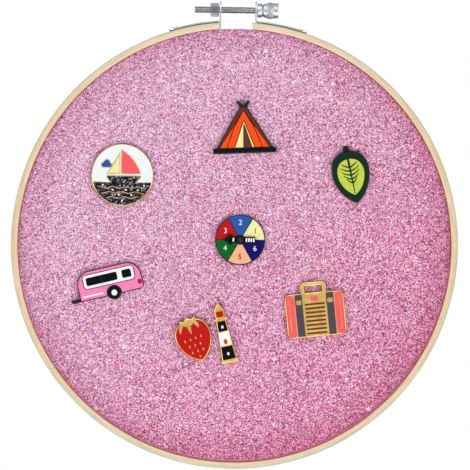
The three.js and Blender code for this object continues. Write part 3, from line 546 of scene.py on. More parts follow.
ENAMEL = {name: enamel(name, tones(*colour)) for name, colour in COLOURS.items()}
ENAMEL["starry"] = enamel("starry", STARRY, grain=GRAIN)
ENAMEL["pearly"] = enamel("pearly", PEARLY, swirl=75.0)
print(len(ENAMEL), "enamel colours")


# %% Rubber
def rubber():
    """Moulded rubber: nearly black, matt, with a fine pebbled skin and paler dust in patches of slow noise.
    """
    finish = Finish("clutch_rubber", IOR=1.5)
    at = finish.at()
    pebbles = finish.noise(at, 2200.0, 3.0, 0.6)
    dust = finish.noise(at, 240.0, 3.0)
    finish.feed("Base Color", finish.ramp(dust, [(0.35, paint(26, 26, 28)), (0.75, paint(52, 51, 53))]))
    finish.feed("Roughness", pebbles * 0.2 + 0.55)
    finish.feed("Normal", finish.bump(pebbles, 0.3, 0.00004))
    return finish.material


RUBBER = rubber()
print("rubber for the clutches")

# %% [markdown]
# ## From arrays to meshes
# Shapes pushed and pulled by hand would not meet the frame's sizes exactly. So each new surface is a grid of
# points worked out as one array: a function of two parameters, or a profile carried along a path. `skin`
# names the quads between neighbouring points, and `piece` puts the arrays into a mesh, welds the seams and
# poles, turns the faces outwards and lets the piece ride on its body.


# %% Grids and pieces
def placed(name, data):
    """An object in the scene, at the origin."""
    made = bpy.data.objects.new(name, data)
    bpy.context.scene.collection.objects.link(made)
    return made


def skin(grid, caps=False):
    """Points and quads over a grid of shape (rows, columns, 3): each quad joins two neighbours in a row with
    the two in the next row, and the last column joins the first; caps close the first and last row."""
    rows, columns, _ = grid.shape
    row = np.arange(rows - 1)[:, None] * columns
    column = np.arange(columns)[None, :]
    after = (column + 1) % columns
    corner = [row + column, row + after, row + columns + after, row + columns + column]
    faces = np.stack(corner, -1).reshape(-1, 4).tolist()
    if caps:
        faces.append(list(range(columns))[::-1])
        faces.append(list(range((rows - 1) * columns, rows * columns)))
    return grid.reshape(-1, 3), faces


def piece(name, parts, material, slot, body, replaces=(), sharp=38, outward=True):
    """Parts in millimetres become one welded mesh at the origin, which rides on its body."""
    points, faces, count = [], [], 0
    for part_points, part_faces in parts:
        points.append(part_points)
        faces += [[corner + count for corner in face] for face in part_faces]
        count += len(part_points)
    mesh = bpy.data.meshes.new(name)
    mesh.from_pydata((np.concatenate(points) * MM).tolist(), [], faces)
    work = bmesh.new()
    work.from_mesh(mesh)
    bmesh.ops.remove_doubles(work, verts=work.verts, dist=1e-6)
    bmesh.ops.dissolve_degenerate(work, edges=work.edges, dist=1e-7)
    if outward:
        bmesh.ops.recalc_face_normals(work, faces=work.faces)
    work.to_mesh(mesh)
    work.free()
    mesh.shade_smooth()
    mesh.set_sharp_from_angle(angle=math.radians(sharp))
    mesh.materials.append(material)
    made = placed(name, mesh)
    if body:
        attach(made, body)
    if replaces:
        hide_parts(*replaces)
    return made


print("pieces are welded and smoothed")


# %% Profiles
def eased(points, ease, steps=4, closed=True):
    """A polygon whose corners become short parabolas, each starting at most `ease` from its corner."""
    here = np.asarray(points, float)

    def towards(other):
        """A point on each edge, `ease` from its corner or 0.45 of the edge, whichever is nearer."""
        length = np.linalg.norm(other - here, axis=1, keepdims=True)
        return here + (other - here) * np.minimum(ease / np.maximum(length, 1e-9), 0.45)

    start, stop = towards(np.roll(here, 1, 0)), towards(np.roll(here, -1, 0))
    if not closed:
        start[[0, -1]], stop[[0, -1]] = here[[0, -1]], here[[0, -1]]
    t = np.linspace(0, 1, steps)[None, :, None]
    curve = (1 - t) ** 2 * start[:, None] + 2 * t * (1 - t) * here[:, None] + t**2 * stop[:, None]
    curve = curve.reshape(-1, 2)
    return curve if closed else curve[steps - 1:len(curve) - steps + 1]


def turned(profile, steps):
    """Each (radius, along) of a profile goes round an axis: (radius cos a, along, radius sin a)."""
    turn = np.linspace(0, 2 * np.pi, steps, endpoint=False)
    radius, along = np.asarray(profile, float).T
    across, up = np.outer(radius, np.cos(turn)), np.outer(radius, np.sin(turn))
    return np.stack([across, np.outer(along, np.ones(steps)), up], -1)


print("profiles can be eased and turned")

# %% [markdown]
# ## The two hoops
# A hoop is a strip section carried round a circle. The outer hoop is one springy strip, open at the top, so
# its section travels from one end of the gap, round the bottom, to the other. Spinning the section would cut
# its ends square to the circle. They were sawn straight up and down, so each point of the section stops where
# its own circle meets the saw cut.


# %% Outer hoop
HOOP_STEPS = 361
EDGE_ROUND = 0.7


def strip_section(inner, outer, front, back):
    """A rectangle in (radius, depth) with its four edges eased."""
    return eased([(inner, front), (outer, front), (outer, back), (inner, back)], EDGE_ROUND, 5).T


def on_circle(radius, depth, angle):
    """Points at an angle from the top of the hoop, clockwise as seen from the front."""
    return np.stack([radius * np.sin(angle), depth + 0 * angle, hoop_z + radius * np.cos(angle)], -1)


radius, depth = strip_section(outer_bore, outer_radius, outer_low[1], outer_high[1])
begin, end = np.arcsin(right_end / radius), 2 * np.pi - np.arcsin(left_end / radius)
share = np.linspace(0, 1, HOOP_STEPS)[:, None]
strip = on_circle(radius, depth, begin + share * (end - begin))
outer_hoop = piece("outer_hoop", [skin(strip, caps=True)], OUTER_WOOD, "hoop_wood", None,
                   ["outer_hoop_left", "outer_hoop_right"])
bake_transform(outer_hoop)
print("outer hoop", strip.shape)

# %% Inner hoop
radius, depth = strip_section(inner_bore, inner_radius, inner_low[1], inner_high[1])
ring = on_circle(radius, depth, np.linspace(0, 2 * np.pi, HOOP_STEPS)[:, None])
piece("inner_ring", [skin(ring)], INNER_WOOD, "hoop_wood", "cloth_ring", ["inner_hoop"])
print("inner hoop", ring.shape)

# %% [markdown]
# ## The cloth
# The cloth is one round piece. It lies flat over the front of the inner hoop, rolls over its edge, and runs
# back between the two hoops to a cut hem. A cloth simulation would only find that same tight shape, so a
# profile from the centre to the hem is carried round the axis, with a little slack at the hem so that the
# edge isn't perfect. Solidify then gives it its thickness, and a second material inside for the woven back.

# %% Cloth
CLOTH_THICKNESS = 0.5
ROLL = 0.35
HEM_WAVE, LONG_WAVES, SHORT_WAVES = 0.25, 23, 41
FACE_MARGIN, RING_SPREAD = 0.2, 1.3
FACE_RINGS, ROLL_RINGS, BAND_RINGS, SPOKES = 40, 8, 11, 288

cloth_radius, cloth_front = face_high[0] + FACE_MARGIN, face_low[1]
face_radius, band_front = cloth_radius - ROLL, cloth_front + ROLL
spread = face_radius - face_radius * np.linspace(1, 0, FACE_RINGS) ** RING_SPREAD
bend = np.linspace(0, np.pi / 2, ROLL_RINGS)[1:]
profile = np.concatenate([
    np.stack([spread, np.full(FACE_RINGS, cloth_front)], 1),
    np.stack([face_radius + ROLL * np.sin(bend), band_front - ROLL * np.cos(bend)], 1),
    np.stack([np.full(BAND_RINGS - 1, cloth_radius), np.linspace(band_front, hem_back, BAND_RINGS)[1:]], 1),
])
angle = np.linspace(0, 2 * np.pi, SPOKES, endpoint=False)[None, :]
sheet = on_circle(profile[:, :1], profile[:, 1:], angle)
wave = np.sin(LONG_WAVES * angle) * 0.6 + np.sin(SHORT_WAVES * angle + 1.3) * 0.4
past_roll = np.clip((profile[:, 1:] - band_front) / (hem_back - band_front), 0, 1)
sheet[..., 1] += HEM_WAVE * past_roll * (wave - 1)
cloth = piece("glitter_sheet", [skin(sheet)], GLITTER, "glitter_cloth", "cloth_ring",
              ["cloth_face", "cloth_band"], sharp=80, outward=False)
cloth.data.materials.append(WEAVE)
thick = cloth.modifiers.new("thickness", "SOLIDIFY")
thick.thickness = CLOTH_THICKNESS * MM
thick.offset = -1.0
thick.material_offset = 1
print("cloth", sheet.shape)

# %% [markdown]
# ## The clamp
# Each bracket is one strip of sheet steel: a foot that lies on the hoop, a bend, and an ear whose top is
# round about the screw. The strip's section is carried along that path while its half width changes: round at
# the end of the foot, full along it, and a half circle at the top of the ear. That needs no cutting and keeps
# the sheet equally thick. On the left a tongue also runs down over the sawn end of the wood.

# %% Strip of sheet
SHEET_THICKNESS, SHEET_EASE = 0.7, 0.14
SIDES = {"left": -1, "right": 1}


def strip_along(path, half):
    """A flat strip: at each point of a path in (x, z), an eased rectangle of its own half width along Y."""
    ahead = np.gradient(path, axis=0)
    ahead /= np.linalg.norm(ahead, axis=1, keepdims=True)
    normal = np.stack([-ahead[:, 1], ahead[:, 0]], 1)
    thick, ease = SHEET_THICKNESS / 2, SHEET_EASE
    out = np.array([thick, thick, thick - ease, ease - thick, -thick, -thick, ease - thick, thick - ease])
    side = np.array([-1, 1, 1, 1, 1, -1, -1, -1])
    inset = np.array([ease, ease, 0, 0, ease, ease, 0, 0])
    x = path[:, :1] + normal[:, :1] * out
    z = path[:, 1:] + normal[:, 1:] * out
    y = side * np.maximum(half[:, None] - inset, 0.01)
    return np.stack([x, y, z], -1)


print("strips of", SHEET_THICKNESS, "mm sheet")

# %% Brackets
FOOT_ROUND = 2.0
BEND_RADIUS = {"left": 0.45, "right": 1.1}
TONGUE_INSET = 0.04
FOOT_STEPS, BEND_STEPS, EAR_STEPS, TONGUE_STEPS = 40, 9, 46, 8


def bracket(name):
    """Foot, bend and ear, from the frame's own bracket: its reach, its ear's plane and its width."""
    node, side, fold = "bracket_" + name, SIDES[name], BEND_RADIUS[name]
    low, high = corners(node)
    spots = vertices(node)
    width = (high[1] - low[1]) / 2
    ear = side * (high[0] if side < 0 else low[0]) + SHEET_THICKNESS / 2
    out = np.abs(spots[:, 0])
    seat = np.hypot(spots[:, 0], spots[:, 2] - hoop_z)[out > ear + 1].mean()
    turn = np.linspace(np.arcsin(out.max() / seat), np.arcsin((ear + fold) / seat), FOOT_STEPS)
    foot = np.stack([seat * np.sin(turn), hoop_z + seat * np.cos(turn)], 1)
    corner = np.array([ear, hoop_z + np.sqrt(seat**2 - ear**2)])
    rise = np.stack([np.full(EAR_STEPS, ear), np.linspace(corner[1] + fold, high[2], EAR_STEPS)], 1)
    t = np.linspace(0, 1, BEND_STEPS)[1:-1, None]
    bend = (1 - t) ** 2 * foot[-1] + 2 * t * (1 - t) * corner + t**2 * rise[0]
    path = np.concatenate([foot, bend, rise])
    along = np.concatenate([[0], np.cumsum(np.linalg.norm(np.diff(path, axis=0), axis=1))])
    blunt = np.sqrt(np.maximum(FOOT_ROUND**2 - np.maximum(FOOT_ROUND - along, 0) ** 2, 0))
    above = np.maximum(path[:, 1] - screw_z, 0)
    half = np.minimum(width - FOOT_ROUND + blunt, np.sqrt(np.maximum(width**2 - above**2, 0.02)))
    parts = [skin(strip_along(path * [side, 1], half), caps=True)]
    if name == "left":
        down = np.linspace(low[2], corner[1] + fold, TONGUE_STEPS)
        tongue = np.stack([np.full(TONGUE_STEPS, -ear), down], 1)
        parts.append(skin(strip_along(tongue, np.full(TONGUE_STEPS, width - TONGUE_INSET)), caps=True))
    return piece("clamp_" + node, parts, SHEET, "sheet_steel", name + "_half", [node])


for name in SIDES:
    print("bracket", name, len(bracket(name).data.vertices), "points")

# %% [markdown]
# The rivets are low domes set square on the hoop, turned from a profile. The nut could be a six-sided
# cylinder, but a real one has a cone turned off its edges. Its radius at any angle is the smaller of the
# hexagon's and the cone's, which gives the curved facets with no cutting.

# %% Rivets
RIVET_RISE, RIVET_LIP, RIVET_SHANK, RIVET_ROOT = 0.4, 0.08, 0.9, 0.1


def dome(radius, seat, top, steps=9):
    """A quarter ellipse from (radius, seat) to (0, top): the profile of a rivet's head."""
    bow = np.linspace(0, np.pi / 2, steps)
    return np.stack([radius * np.cos(bow), seat + (top - seat) * np.sin(bow)], 1)


def rivet(name):
    """A dome of revolution along the hoop's radius, standing on the foot of the bracket."""
    node = "rivet_" + name
    spots = vertices(node)
    spots[:, 2] -= hoop_z
    centre = (spots.max(0) + spots.min(0)) / 2
    angle = np.arctan2(centre[0], centre[2])
    top = np.hypot(spots[:, 0], spots[:, 2]).max()
    seat, root = top - RIVET_RISE, outer_bore + RIVET_ROOT
    head = (spots[:, 1].max() - spots[:, 1].min()) / 2
    shank = [(0, root), (RIVET_SHANK, root), (RIVET_SHANK, seat), (head, seat)]
    across, along, deep = np.moveaxis(turned([*shank, *dome(head, seat + RIVET_LIP, top)], 32), -1, 0)
    x = along * np.sin(angle) + across * np.cos(angle)
    z = hoop_z + along * np.cos(angle) - across * np.sin(angle)
    piece("clamp_" + node, [skin(np.stack([x, deep, z], -1))], PLATED, "plated_steel", name + "_half", [node])


for name in SIDES:
    rivet(name)
print(len(SIDES), "rivets")


# %% Nut
NUT_BORE = 1.9
NUT_STEPS = 120
CONE_FOOT, CONE_SLOPE = 0.97, 1.7


def about_screw(along, radius, turn):
    """Points round the screw's axis: (along, radius cos a, radius sin a)."""
    return np.stack([along + 0 * radius, radius * np.cos(turn), screw_z + radius * np.sin(turn)], -1)


nut_low, nut_high = corners("hex_nut")
across_corners = nut_high[2] - nut_low[2]
flat_radius = across_corners / 2 * math.cos(math.pi / 6)
turn = np.linspace(0, 2 * np.pi, NUT_STEPS, endpoint=False)[None, :]
hexagon = flat_radius / np.cos((turn + np.pi / 6) % (np.pi / 3) - np.pi / 6)
along = np.array([0, 0, 0.12, 0.3, 0.55, 0.8, 1])[:, None] * (nut_high[0] - nut_low[0]) / 2
cone = flat_radius * CONE_FOOT + CONE_SLOPE * along
cone[0] = NUT_BORE
half_nut = np.minimum(hexagon, cone)
radius = np.concatenate([half_nut, half_nut[-2::-1], half_nut[:1]])
along = np.concatenate([nut_low[0] + along, nut_high[0] - along[-2::-1], nut_low[0] + along[:1]])
piece("clamp_nut", [skin(about_screw(along, radius, turn))], ZINC, "plated_steel", "left_half", ["hex_nut"],
      sharp=25)
print(f"nut {across_corners:.1f} mm across its corners")

# %% [markdown]
# ## The thumbscrew
# The shank carries a real thread: the radius dips once in every pitch, and the dip moves along by one pitch
# in a turn. The head is turned: a collar, a groove, a shoulder, a bulged barrel and an end collar. Two sets
# of slanted grooves cross on the barrel, and what is left between them is the knurl. Both are sums on the
# radius, so they need no modelling tool and stay even all round.

# %% Shank with its thread
PITCH, THREAD_DEPTH, THREAD_FLAT = 0.5, 0.14, 0.6
ROWS_PER_PITCH, SHANK_STEPS = 10, 48
SHANK_RADIUS, POINT_TAPER, POINT_LENGTH = 1.45, 0.35, 0.4
THREAD_START, PLAIN_NECK, THREAD_END = 0.5, 0.6, 0.8
HEAD = [(1.45, 0), (3.15, 0), (3.15, 2.0), (2.4, 2.45), (3.15, 2.9), (3.15, 4.1)]
BARREL_RADIUS, BARREL_BULGE, BARREL_LENGTH = 3.8, 0.35, 3.6
END_RADIUS, END_LENGTH = 3.4, 1.9

barrel_start = HEAD[-1][1]
head_start = screw_high[0] - barrel_start - BARREL_LENGTH - END_LENGTH
turn = np.linspace(0, 2 * np.pi, SHANK_STEPS, endpoint=False)[None, :]
along = np.arange(screw_low[0], head_start, PITCH / ROWS_PER_PITCH)[:, None]
phase = (along / PITCH - turn / (2 * np.pi)) % 1
groove = np.clip((np.abs(2 * phase - 1) - THREAD_FLAT) / (1 - THREAD_FLAT), 0, 1)
from_point, to_head = along - screw_low[0], head_start - PLAIN_NECK - along
fade = np.clip(from_point / THREAD_START, 0, 1) * np.clip(to_head / THREAD_END, 0, 1)
taper = POINT_TAPER * np.clip(1 - from_point / POINT_LENGTH, 0, 1)
shank = about_screw(along, SHANK_RADIUS - taper - THREAD_DEPTH * fade * groove, turn)
print("shank", shank.shape)

# %% Knurled head
KNURLS, KNURL_DEPTH, KNURL_LEAD, KNURL_EDGE = 34, 0.22, 9.0, 2.2
HEAD_STEPS, BARREL_RINGS = 204, 25
COLLAR_EASE, END_EASE, KNURL_RUNOUT = 0.18, 0.3, 0.3

turn = np.linspace(0, 2 * np.pi, HEAD_STEPS, endpoint=False)[None, :]
barrel = np.linspace(0, 1, BARREL_RINGS)
bulged = BARREL_RADIUS - BARREL_BULGE * (2 * barrel - 1) ** 2
front = eased(HEAD, COLLAR_EASE, 4, closed=False)
end = eased([(END_RADIUS, 0), (END_RADIUS, END_LENGTH), (0, END_LENGTH)], END_EASE, 5, closed=False)
head = np.concatenate([front, np.stack([bulged, barrel_start + barrel * BARREL_LENGTH], 1),
                       end + [0, barrel_start + BARREL_LENGTH]])
run_out = np.sin(np.pi * barrel) ** KNURL_RUNOUT
cut = np.concatenate([np.zeros(len(front)), run_out, np.zeros(len(end))])[:, None]
twist = head[:, 1:] * KNURLS / KNURL_LEAD
ramps = [np.abs(((KNURLS * turn / (2 * np.pi) + way * twist) % 1) * 2 - 1) for way in (-1, 1)]
knurl = np.minimum(np.minimum(*ramps) * KNURL_EDGE, 1)
head_grid = about_screw(head_start + head[:, 1:], head[:, :1] - KNURL_DEPTH * cut * (1 - knurl), turn)
piece("clamp_screw_head", [skin(head_grid)], PLATED, "plated_steel", "screw", ["thumbscrew"], sharp=50)
piece("clamp_screw_shank", [skin(shank, caps=True)], THREADED, "plated_steel", "screw", sharp=50)
print("head", head_grid.shape)

# %% [markdown]
# ## How a pin is struck
# A soft-enamel pin starts as a die-struck plate: its outline, a raised rim, raised lines, and pockets between
# them that are filled with colour. Each pocket could be cut out with a boolean, one cut after another. But
# all of it is a flat drawing with heights, so the drawing comes first, as closed loops in millimetres. The
# plane is split into triangles along all the loops at once, every triangle gets a label (metal, or one of the
# cells), and the labels say how high it lies.


# %% Loops
def arc(centre, radius, start, stop, steps=24):
    """Points on a circle from one angle to another, in degrees."""
    angle = np.radians(np.linspace(start, stop, steps))
    return np.stack([centre[0] + radius * np.cos(angle), centre[1] + radius * np.sin(angle)], 1)


def disc(radius, centre=(0, 0), steps=72):
    """A whole circle, without the point that closes it."""
    return arc(centre, radius, 0, 360, steps + 1)[:-1]


def bezier(*control, steps=16):
    """A curve from its control points, without its end: neighbours blended by t until one point is left."""
    t = np.linspace(0, 1, steps, endpoint=False)[:, None, None]
    rest = np.asarray(control, float)[None]
    while rest.shape[1] > 1:
        rest = (1 - t) * rest[:, :-1] + t * rest[:, 1:]
    return rest[:, 0]


def rounded_box(left, bottom, right, top, corner):
    """Four quarter circles, one in each corner of a box, joined in turn."""
    corner = min(corner, 0.45 * (right - left), 0.45 * (top - bottom))
    spots = [(right - corner, bottom + corner, -90), (right - corner, top - corner, 0),
             (left + corner, top - corner, 90), (left + corner, bottom + corner, 180)]
    return np.concatenate([arc((x, z), corner, start, start + 90, 8) for x, z, start in spots])


print("a disc has", len(disc(1.0)), "points unless more are wanted")


# %% Lines and edges
def stroke(path, width):
    """A line of a given width with square ends, as a closed loop round a path."""
    path = np.asarray(path, float)
    ahead = np.gradient(path, axis=0)
    ahead /= np.linalg.norm(ahead, axis=1, keepdims=True)
    side = np.stack([-ahead[:, 1], ahead[:, 0]], 1) * np.reshape(width, (-1, 1)) / 2
    return np.concatenate([path - side, (path + side)[::-1]])


def grow(loop, distance):
    """A loop moved outwards: each corner along the middle of its edges' normals, as far as they need."""
    into, out = loop - np.roll(loop, 1, 0), np.roll(loop, -1, 0) - loop
    into, out = (edge / np.linalg.norm(edge, axis=1, keepdims=True) for edge in (into, out))
    first, second = (np.stack([edge[:, 1], -edge[:, 0]], 1) for edge in (into, out))
    middle = first + second
    middle /= np.maximum(np.linalg.norm(middle, axis=1, keepdims=True), 1e-9)
    return loop + middle * distance / np.maximum((middle * second).sum(1, keepdims=True), 0.4)


def anticlockwise(loop):
    """The loop, turned round if its area, a sum of cross products, is below zero."""
    loop = np.asarray(loop, float)
    x, z = loop.T
    return loop if (x * np.roll(z, -1) - np.roll(x, -1) * z).sum() > 0 else loop[::-1]


print("loops can be drawn as lines, grown and turned round")


# %% Splitting the plane
def inside(points, loop):
    """Even-odd rule: a point is inside if a ray to the right crosses the loop an odd number of times."""
    x, z = points[:, :1], points[:, 1:]
    x0, z0 = loop.T
    x1, z1 = np.roll(loop, -1, 0).T
    spans = (z0 > z) != (z1 > z)
    rise = np.where(z1 == z0, 1e-12, z1 - z0)
    return (spans & (x < x0 + (z - z0) * (x1 - x0) / rise)).sum(1) % 2 == 1


def beside(points, loops):
    """Distance from each point to the nearest edge of any of the loops."""
    nearest = np.full(len(points), np.inf)
    for loop in loops:
        start, edge = loop[None], (np.roll(loop, -1, 0) - loop)[None]
        away = points[:, None] - start
        share = np.clip((away * edge).sum(-1) / np.maximum((edge**2).sum(-1), 1e-12), 0, 1)
        nearest = np.minimum(nearest, np.linalg.norm(away - share[..., None] * edge, axis=-1).min(1))
    return nearest


def split(loops):
    """Corner points and triangles of a plane that is cut along every loop."""
    numbers = np.split(np.arange(sum(map(len, loops))), np.cumsum([len(loop) for loop in loops])[:-1])
    edges = np.concatenate([np.stack([number, np.roll(number, -1)], 1) for number in numbers])
    made = delaunay_2d_cdt(np.concatenate(loops).tolist(), edges.tolist(), [], 0, 1e-5)
    return np.array(made[0]), np.array(made[2])


def walls(triangles, top, bottom):
    """Quads down from the border of a set of triangles, from one copy of its points to another."""
    edges = np.concatenate([triangles[:, [0, 1]], triangles[:, [1, 2]], triangles[:, [2, 0]]])
    _, index, uses = np.unique(np.sort(edges, 1), axis=0, return_inverse=True, return_counts=True)
    start, stop = edges[uses[index.ravel()] == 1].T
    return np.stack([stop + top, start + top, start + bottom, stop + bottom], 1).tolist()


print("the plane can be split")

# %% [markdown]
# `struck` turns one drawing into pieces: the plate with its rim, lines, pockets and posts, and one solid of
# enamel for every cell. A cell lies over the ones before it, and a line of metal of its own width stays round
# it. The enamel creeps up a little at the edge of its pocket, as a liquid does before it is baked hard.

# %% Places of the pins
PINS = {
    "sailboat": (-51.9, 31.4, 0.0), "tent": (3.5, 54.4, 3.0), "leaf": (53.0, 33.4, 13.0),
    "spinner": (2.6, 2.6, 0.0), "caravan": (-58.7, -18.8, 14.0), "strawberry": (-17.6, -43.4, 22.0),
    "lighthouse": (-4.2, -40.4, 13.5), "suitcase": (37.5, -28.6, 6.5),
}


def on_pin(name, points, depth):
    """A drawing's points, turned and moved to their pin's place on the cloth, at a depth."""
    x, z, turn = PINS[name]
    cos, sin = math.cos(math.radians(turn)), math.sin(math.radians(turn))
    right, up = np.asarray(points, float).T
    return np.stack([x + cos * right - sin * up, depth + 0 * right, hoop_z + z + sin * right + cos * up], 1)


def clutch_places(name):
    """The clutches of a pin and the middle of each, from the frame."""
    nodes = sorted(node for node in frame["nodes"] if node.startswith(name + "_clutch"))
    return {node: np.add(*corners(node)) / 2 * [1, 0, 1] for node in nodes}


print(len(PINS), "pins")

# %% From a drawing to labelled triangles
RIM_ROUND = [(0.0, 0.5), (0.12, 0.24), (0.26, 0.08), (0.42, 0.0)]


class Cell:
    """One pocket: its piece, its loops, its enamel, the width of the line round it, its node in the frame."""

    def __init__(self, name, loops, colour, line, node):
        self.name, self.colour, self.line, self.node = name, colour, line, node
        self.loops = [anticlockwise(loop) for loop in loops]
        self.ridges = [grow(loop, line) if line else loop for loop in self.loops]


def rim_drop(points, loops, scale=1.0):
    """How far the rounded rim lies behind the face, by the distance from the loops."""
    return np.interp(beside(points, loops) / scale, *zip(*RIM_ROUND)) * scale


def labelled(outline, cells, lines, windows):
    """The plane cut along every loop: its points, its triangles, and a label for each triangle, which is -1
    outside the pin, 0 for metal, and a cell's number from 1 on."""
    rims = [grow(outline, -inset) for inset, _ in RIM_ROUND[1:]]
    rims += [grow(loop, inset) for loop in windows for inset, _ in RIM_ROUND[1:]]
    every = [outline, *rims, *windows, *lines]
    every += [loop for cell in cells for loop in cell.loops]
    every += [loop for cell in cells if cell.line for loop in cell.ridges]
    flat, triangles = split(every)
    middle = flat[triangles].mean(1)
    label = np.where(inside(middle, outline), 0, -1)
    for loop in windows:
        label[inside(middle, loop)] = -1
    solid = label == 0
    for number, cell in enumerate(cells, 1):
        for loop, ridge in zip(cell.loops, cell.ridges):
            label[inside(middle, ridge) & solid] = 0
            label[inside(middle, loop) & solid] = number
    for loop in lines:
        label[inside(middle, loop) & solid] = 0
    return flat, triangles, label


print("rims are rounded over", RIM_ROUND[-1][0], "mm")

# %% From labelled triangles to a pin
PLATE_THICKNESS, POCKET_DEPTH = 1.83, 0.45
ENAMEL_SINK, CREEP, CREEP_WIDTH, FLOOR_GAP = 0.14, 0.1, 0.15, 0.01
POST_RADIUS, POST_POINT, POST_ROOT = 0.55, 1.4, 0.3
PLATING = {"gold": (GOLD, "gold_plate"), "black": (BLACK_NICKEL, "dark_plate")}
SLOT_OF = {"brown": "enamel_red", "starry": "enamel_black", "pearly": "enamel_white"}


def relief(name, flat, triangles, label, drop, front):
    """The parts of a plate: raised metal, pocket floors, back and the walls between them, and the posts."""
    back, count = front + PLATE_THICKNESS, len(flat)
    levels = (front + drop, front + POCKET_DEPTH, back)
    shell = np.concatenate([on_pin(name, flat, depth) for depth in levels])
    raised, sunk, whole = triangles[label == 0], triangles[label > 0], triangles[label >= 0]
    sides = walls(whole, 0, 2 * count)
    border = {tuple(quad[:2]) for quad in sides}
    pockets = [quad[::-1] for quad in walls(sunk, 0, count) if tuple(quad[:2]) not in border]
    flats = np.concatenate([raised, sunk + count, whole[:, ::-1] + 2 * count])
    faces = flats.tolist() + sides + pockets
    root, tip = back - POST_ROOT, corners(name + "_plate")[1][1]
    post = turned([(0, root), (POST_RADIUS, root), (POST_RADIUS, tip - POST_POINT), (0, tip)], 20)
    return [(shell, faces)] + [skin(post + middle) for middle in clutch_places(name).values()]


def struck(name, outline, cells, lines=(), windows=(), plating="gold"):
    """Plate and enamel of one pin; a cell is (piece, loops, enamel, line round it, node it stands for)."""
    outline, front = anticlockwise(outline), corners(name + "_plate")[0][1]
    lines, windows = list(map(anticlockwise, lines)), list(map(anticlockwise, windows))
    cells = [Cell(*cell) for cell in cells]
    flat, triangles, label = labelled(outline, cells, lines, windows)
    parts = relief(name, flat, triangles, label, rim_drop(flat, [outline, *windows]), front)
    body = name + "_pin"
    piece(name + "_relief", parts, *PLATING[plating], body, [name + "_plate"], sharp=50)
    for number, cell in enumerate(cells, 1):
        mine = triangles[label == number]
        level = front + ENAMEL_SINK - CREEP * np.exp(-beside(flat, cell.loops) / CREEP_WIDTH)
        under = front + POCKET_DEPTH - FLOOR_GAP
        block = np.concatenate([on_pin(name, flat, level), on_pin(name, flat, under)])
        faces = mine.tolist() + (mine[:, ::-1] + len(flat)).tolist() + walls(mine, 0, len(flat))
        slot = SLOT_OF.get(cell.colour, "enamel_" + cell.colour)
        piece(f"{name}_{cell.name}", [(block, faces)], ENAMEL[cell.colour], slot, body,
              [cell.node] if cell.node else (), sharp=60)
    print(name, "is struck with", len(cells), "cells,", len(triangles), "triangles")


print("plates of", PLATE_THICKNESS, "mm in", len(PLATING), "platings")

# %% [markdown]
# ## Two pins from curves: a boat and a leaf
# The round pin shows a sailboat under a white sky. Its waves are raised lines in the dark enamel, and its
# foam is small cells. The leaf has a dark border, and its veins are thin cells of the same dark green laid
# over the blade. Curves of a few control points draw both, because they stay smooth at any number of steps.

# %% Sailboat
RIM_WIDTH, LINE_WIDTH, FINE_LINE = 0.5, 0.36, 0.3
radius = 14.3
field = radius - RIM_WIDTH
waterline, deck = -0.24 * radius, -0.04 * radius
boom, mast, jib_mast, peak = deck + 0.1 * radius, -0.02 * radius, -0.1 * radius, 0.78 * radius
shore = math.degrees(math.asin(waterline / field))
hull = [(0.42 * radius, waterline), (0.6 * radius, deck), (-0.5 * radius, deck), (-0.36 * radius, waterline)]
sea = np.concatenate([arc((0, 0), field, 180 - shore, 360 + shore, 48), eased(hull, 0.4)])
leech = bezier((0.56 * radius, boom), (0.42 * radius, 0.5 * radius), (mast, peak))
sail = np.concatenate([[(mast, boom)], leech, [(mast, peak)]])
jib_top, jib_foot = (jib_mast, 0.66 * radius), (-0.46 * radius, boom)
luff = bezier(jib_top, (-0.3 * radius, 0.3 * radius), jib_foot)
jib = np.concatenate([[(jib_mast, boom)], luff, [jib_foot]])
cloud = np.concatenate([arc((-0.6 * radius, 0.32 * radius), 1.0, 90, 270, 12),
                        arc((-0.42 * radius, 0.32 * radius), 1.0, -90, 20, 10),
                        arc((-0.5 * radius, 0.4 * radius), 1.2, 0, 150, 14)])
WAVES = ((-0.4, 0.78, 0.0), (-0.56, 0.68, 1.6), (-0.72, 0.5, 0.4))
WAVE_HEIGHT, WAVE_TURNS, WAVE_WIDTH, FOAM_RADIUS = 0.35, 15, 0.34, 0.4
FOAM = ((-0.62, -0.32), (-0.3, -0.48), (0.12, -0.47), (0.5, -0.48), (0.7, -0.33), (-0.1, -0.64),
        (0.3, -0.64), (0.0, -0.82))


def wave_line(level, reach, shift):
    """A sine wave at a level, as far to both sides as it reaches, drawn as a raised line."""
    swell = np.linspace(-1, 1, 60) * reach
    height = level * radius + WAVE_HEIGHT * np.sin(swell * WAVE_TURNS + shift)
    return stroke(np.stack([swell * radius, height], 1), WAVE_WIDTH)


foam = [disc(FOAM_RADIUS, (x * radius, z * radius), 16) for x, z in FOAM]
struck("sailboat", disc(radius, steps=120), [
    ("sky_fill", [disc(field, steps=120)], "pearly", 0, "sailboat_sky"),
    ("sea_fill", [sea], "starry", LINE_WIDTH, "sailboat_sea"),
    ("sail_fill", [sail], "coral", LINE_WIDTH, "sailboat_sail"),
    ("jib_fill", [jib], "cream", 0.4, None),
    ("cloud_fill", [cloud], "blue", FINE_LINE, None),
    ("foam_fill", foam, "white", 0, None),
], [wave_line(*wave) for wave in WAVES])


# %% Leaf
LEAF_WIDTH, LEAF_HEIGHT, LEAF_STEM, LEAF_BORDER = 17.7, 26.9, 2.4, 2.1
VEINS = ((0.7, 3.9), (0.42, 4.6), (0.14, 4.4), (-0.14, 3.7), (-0.4, 2.5))


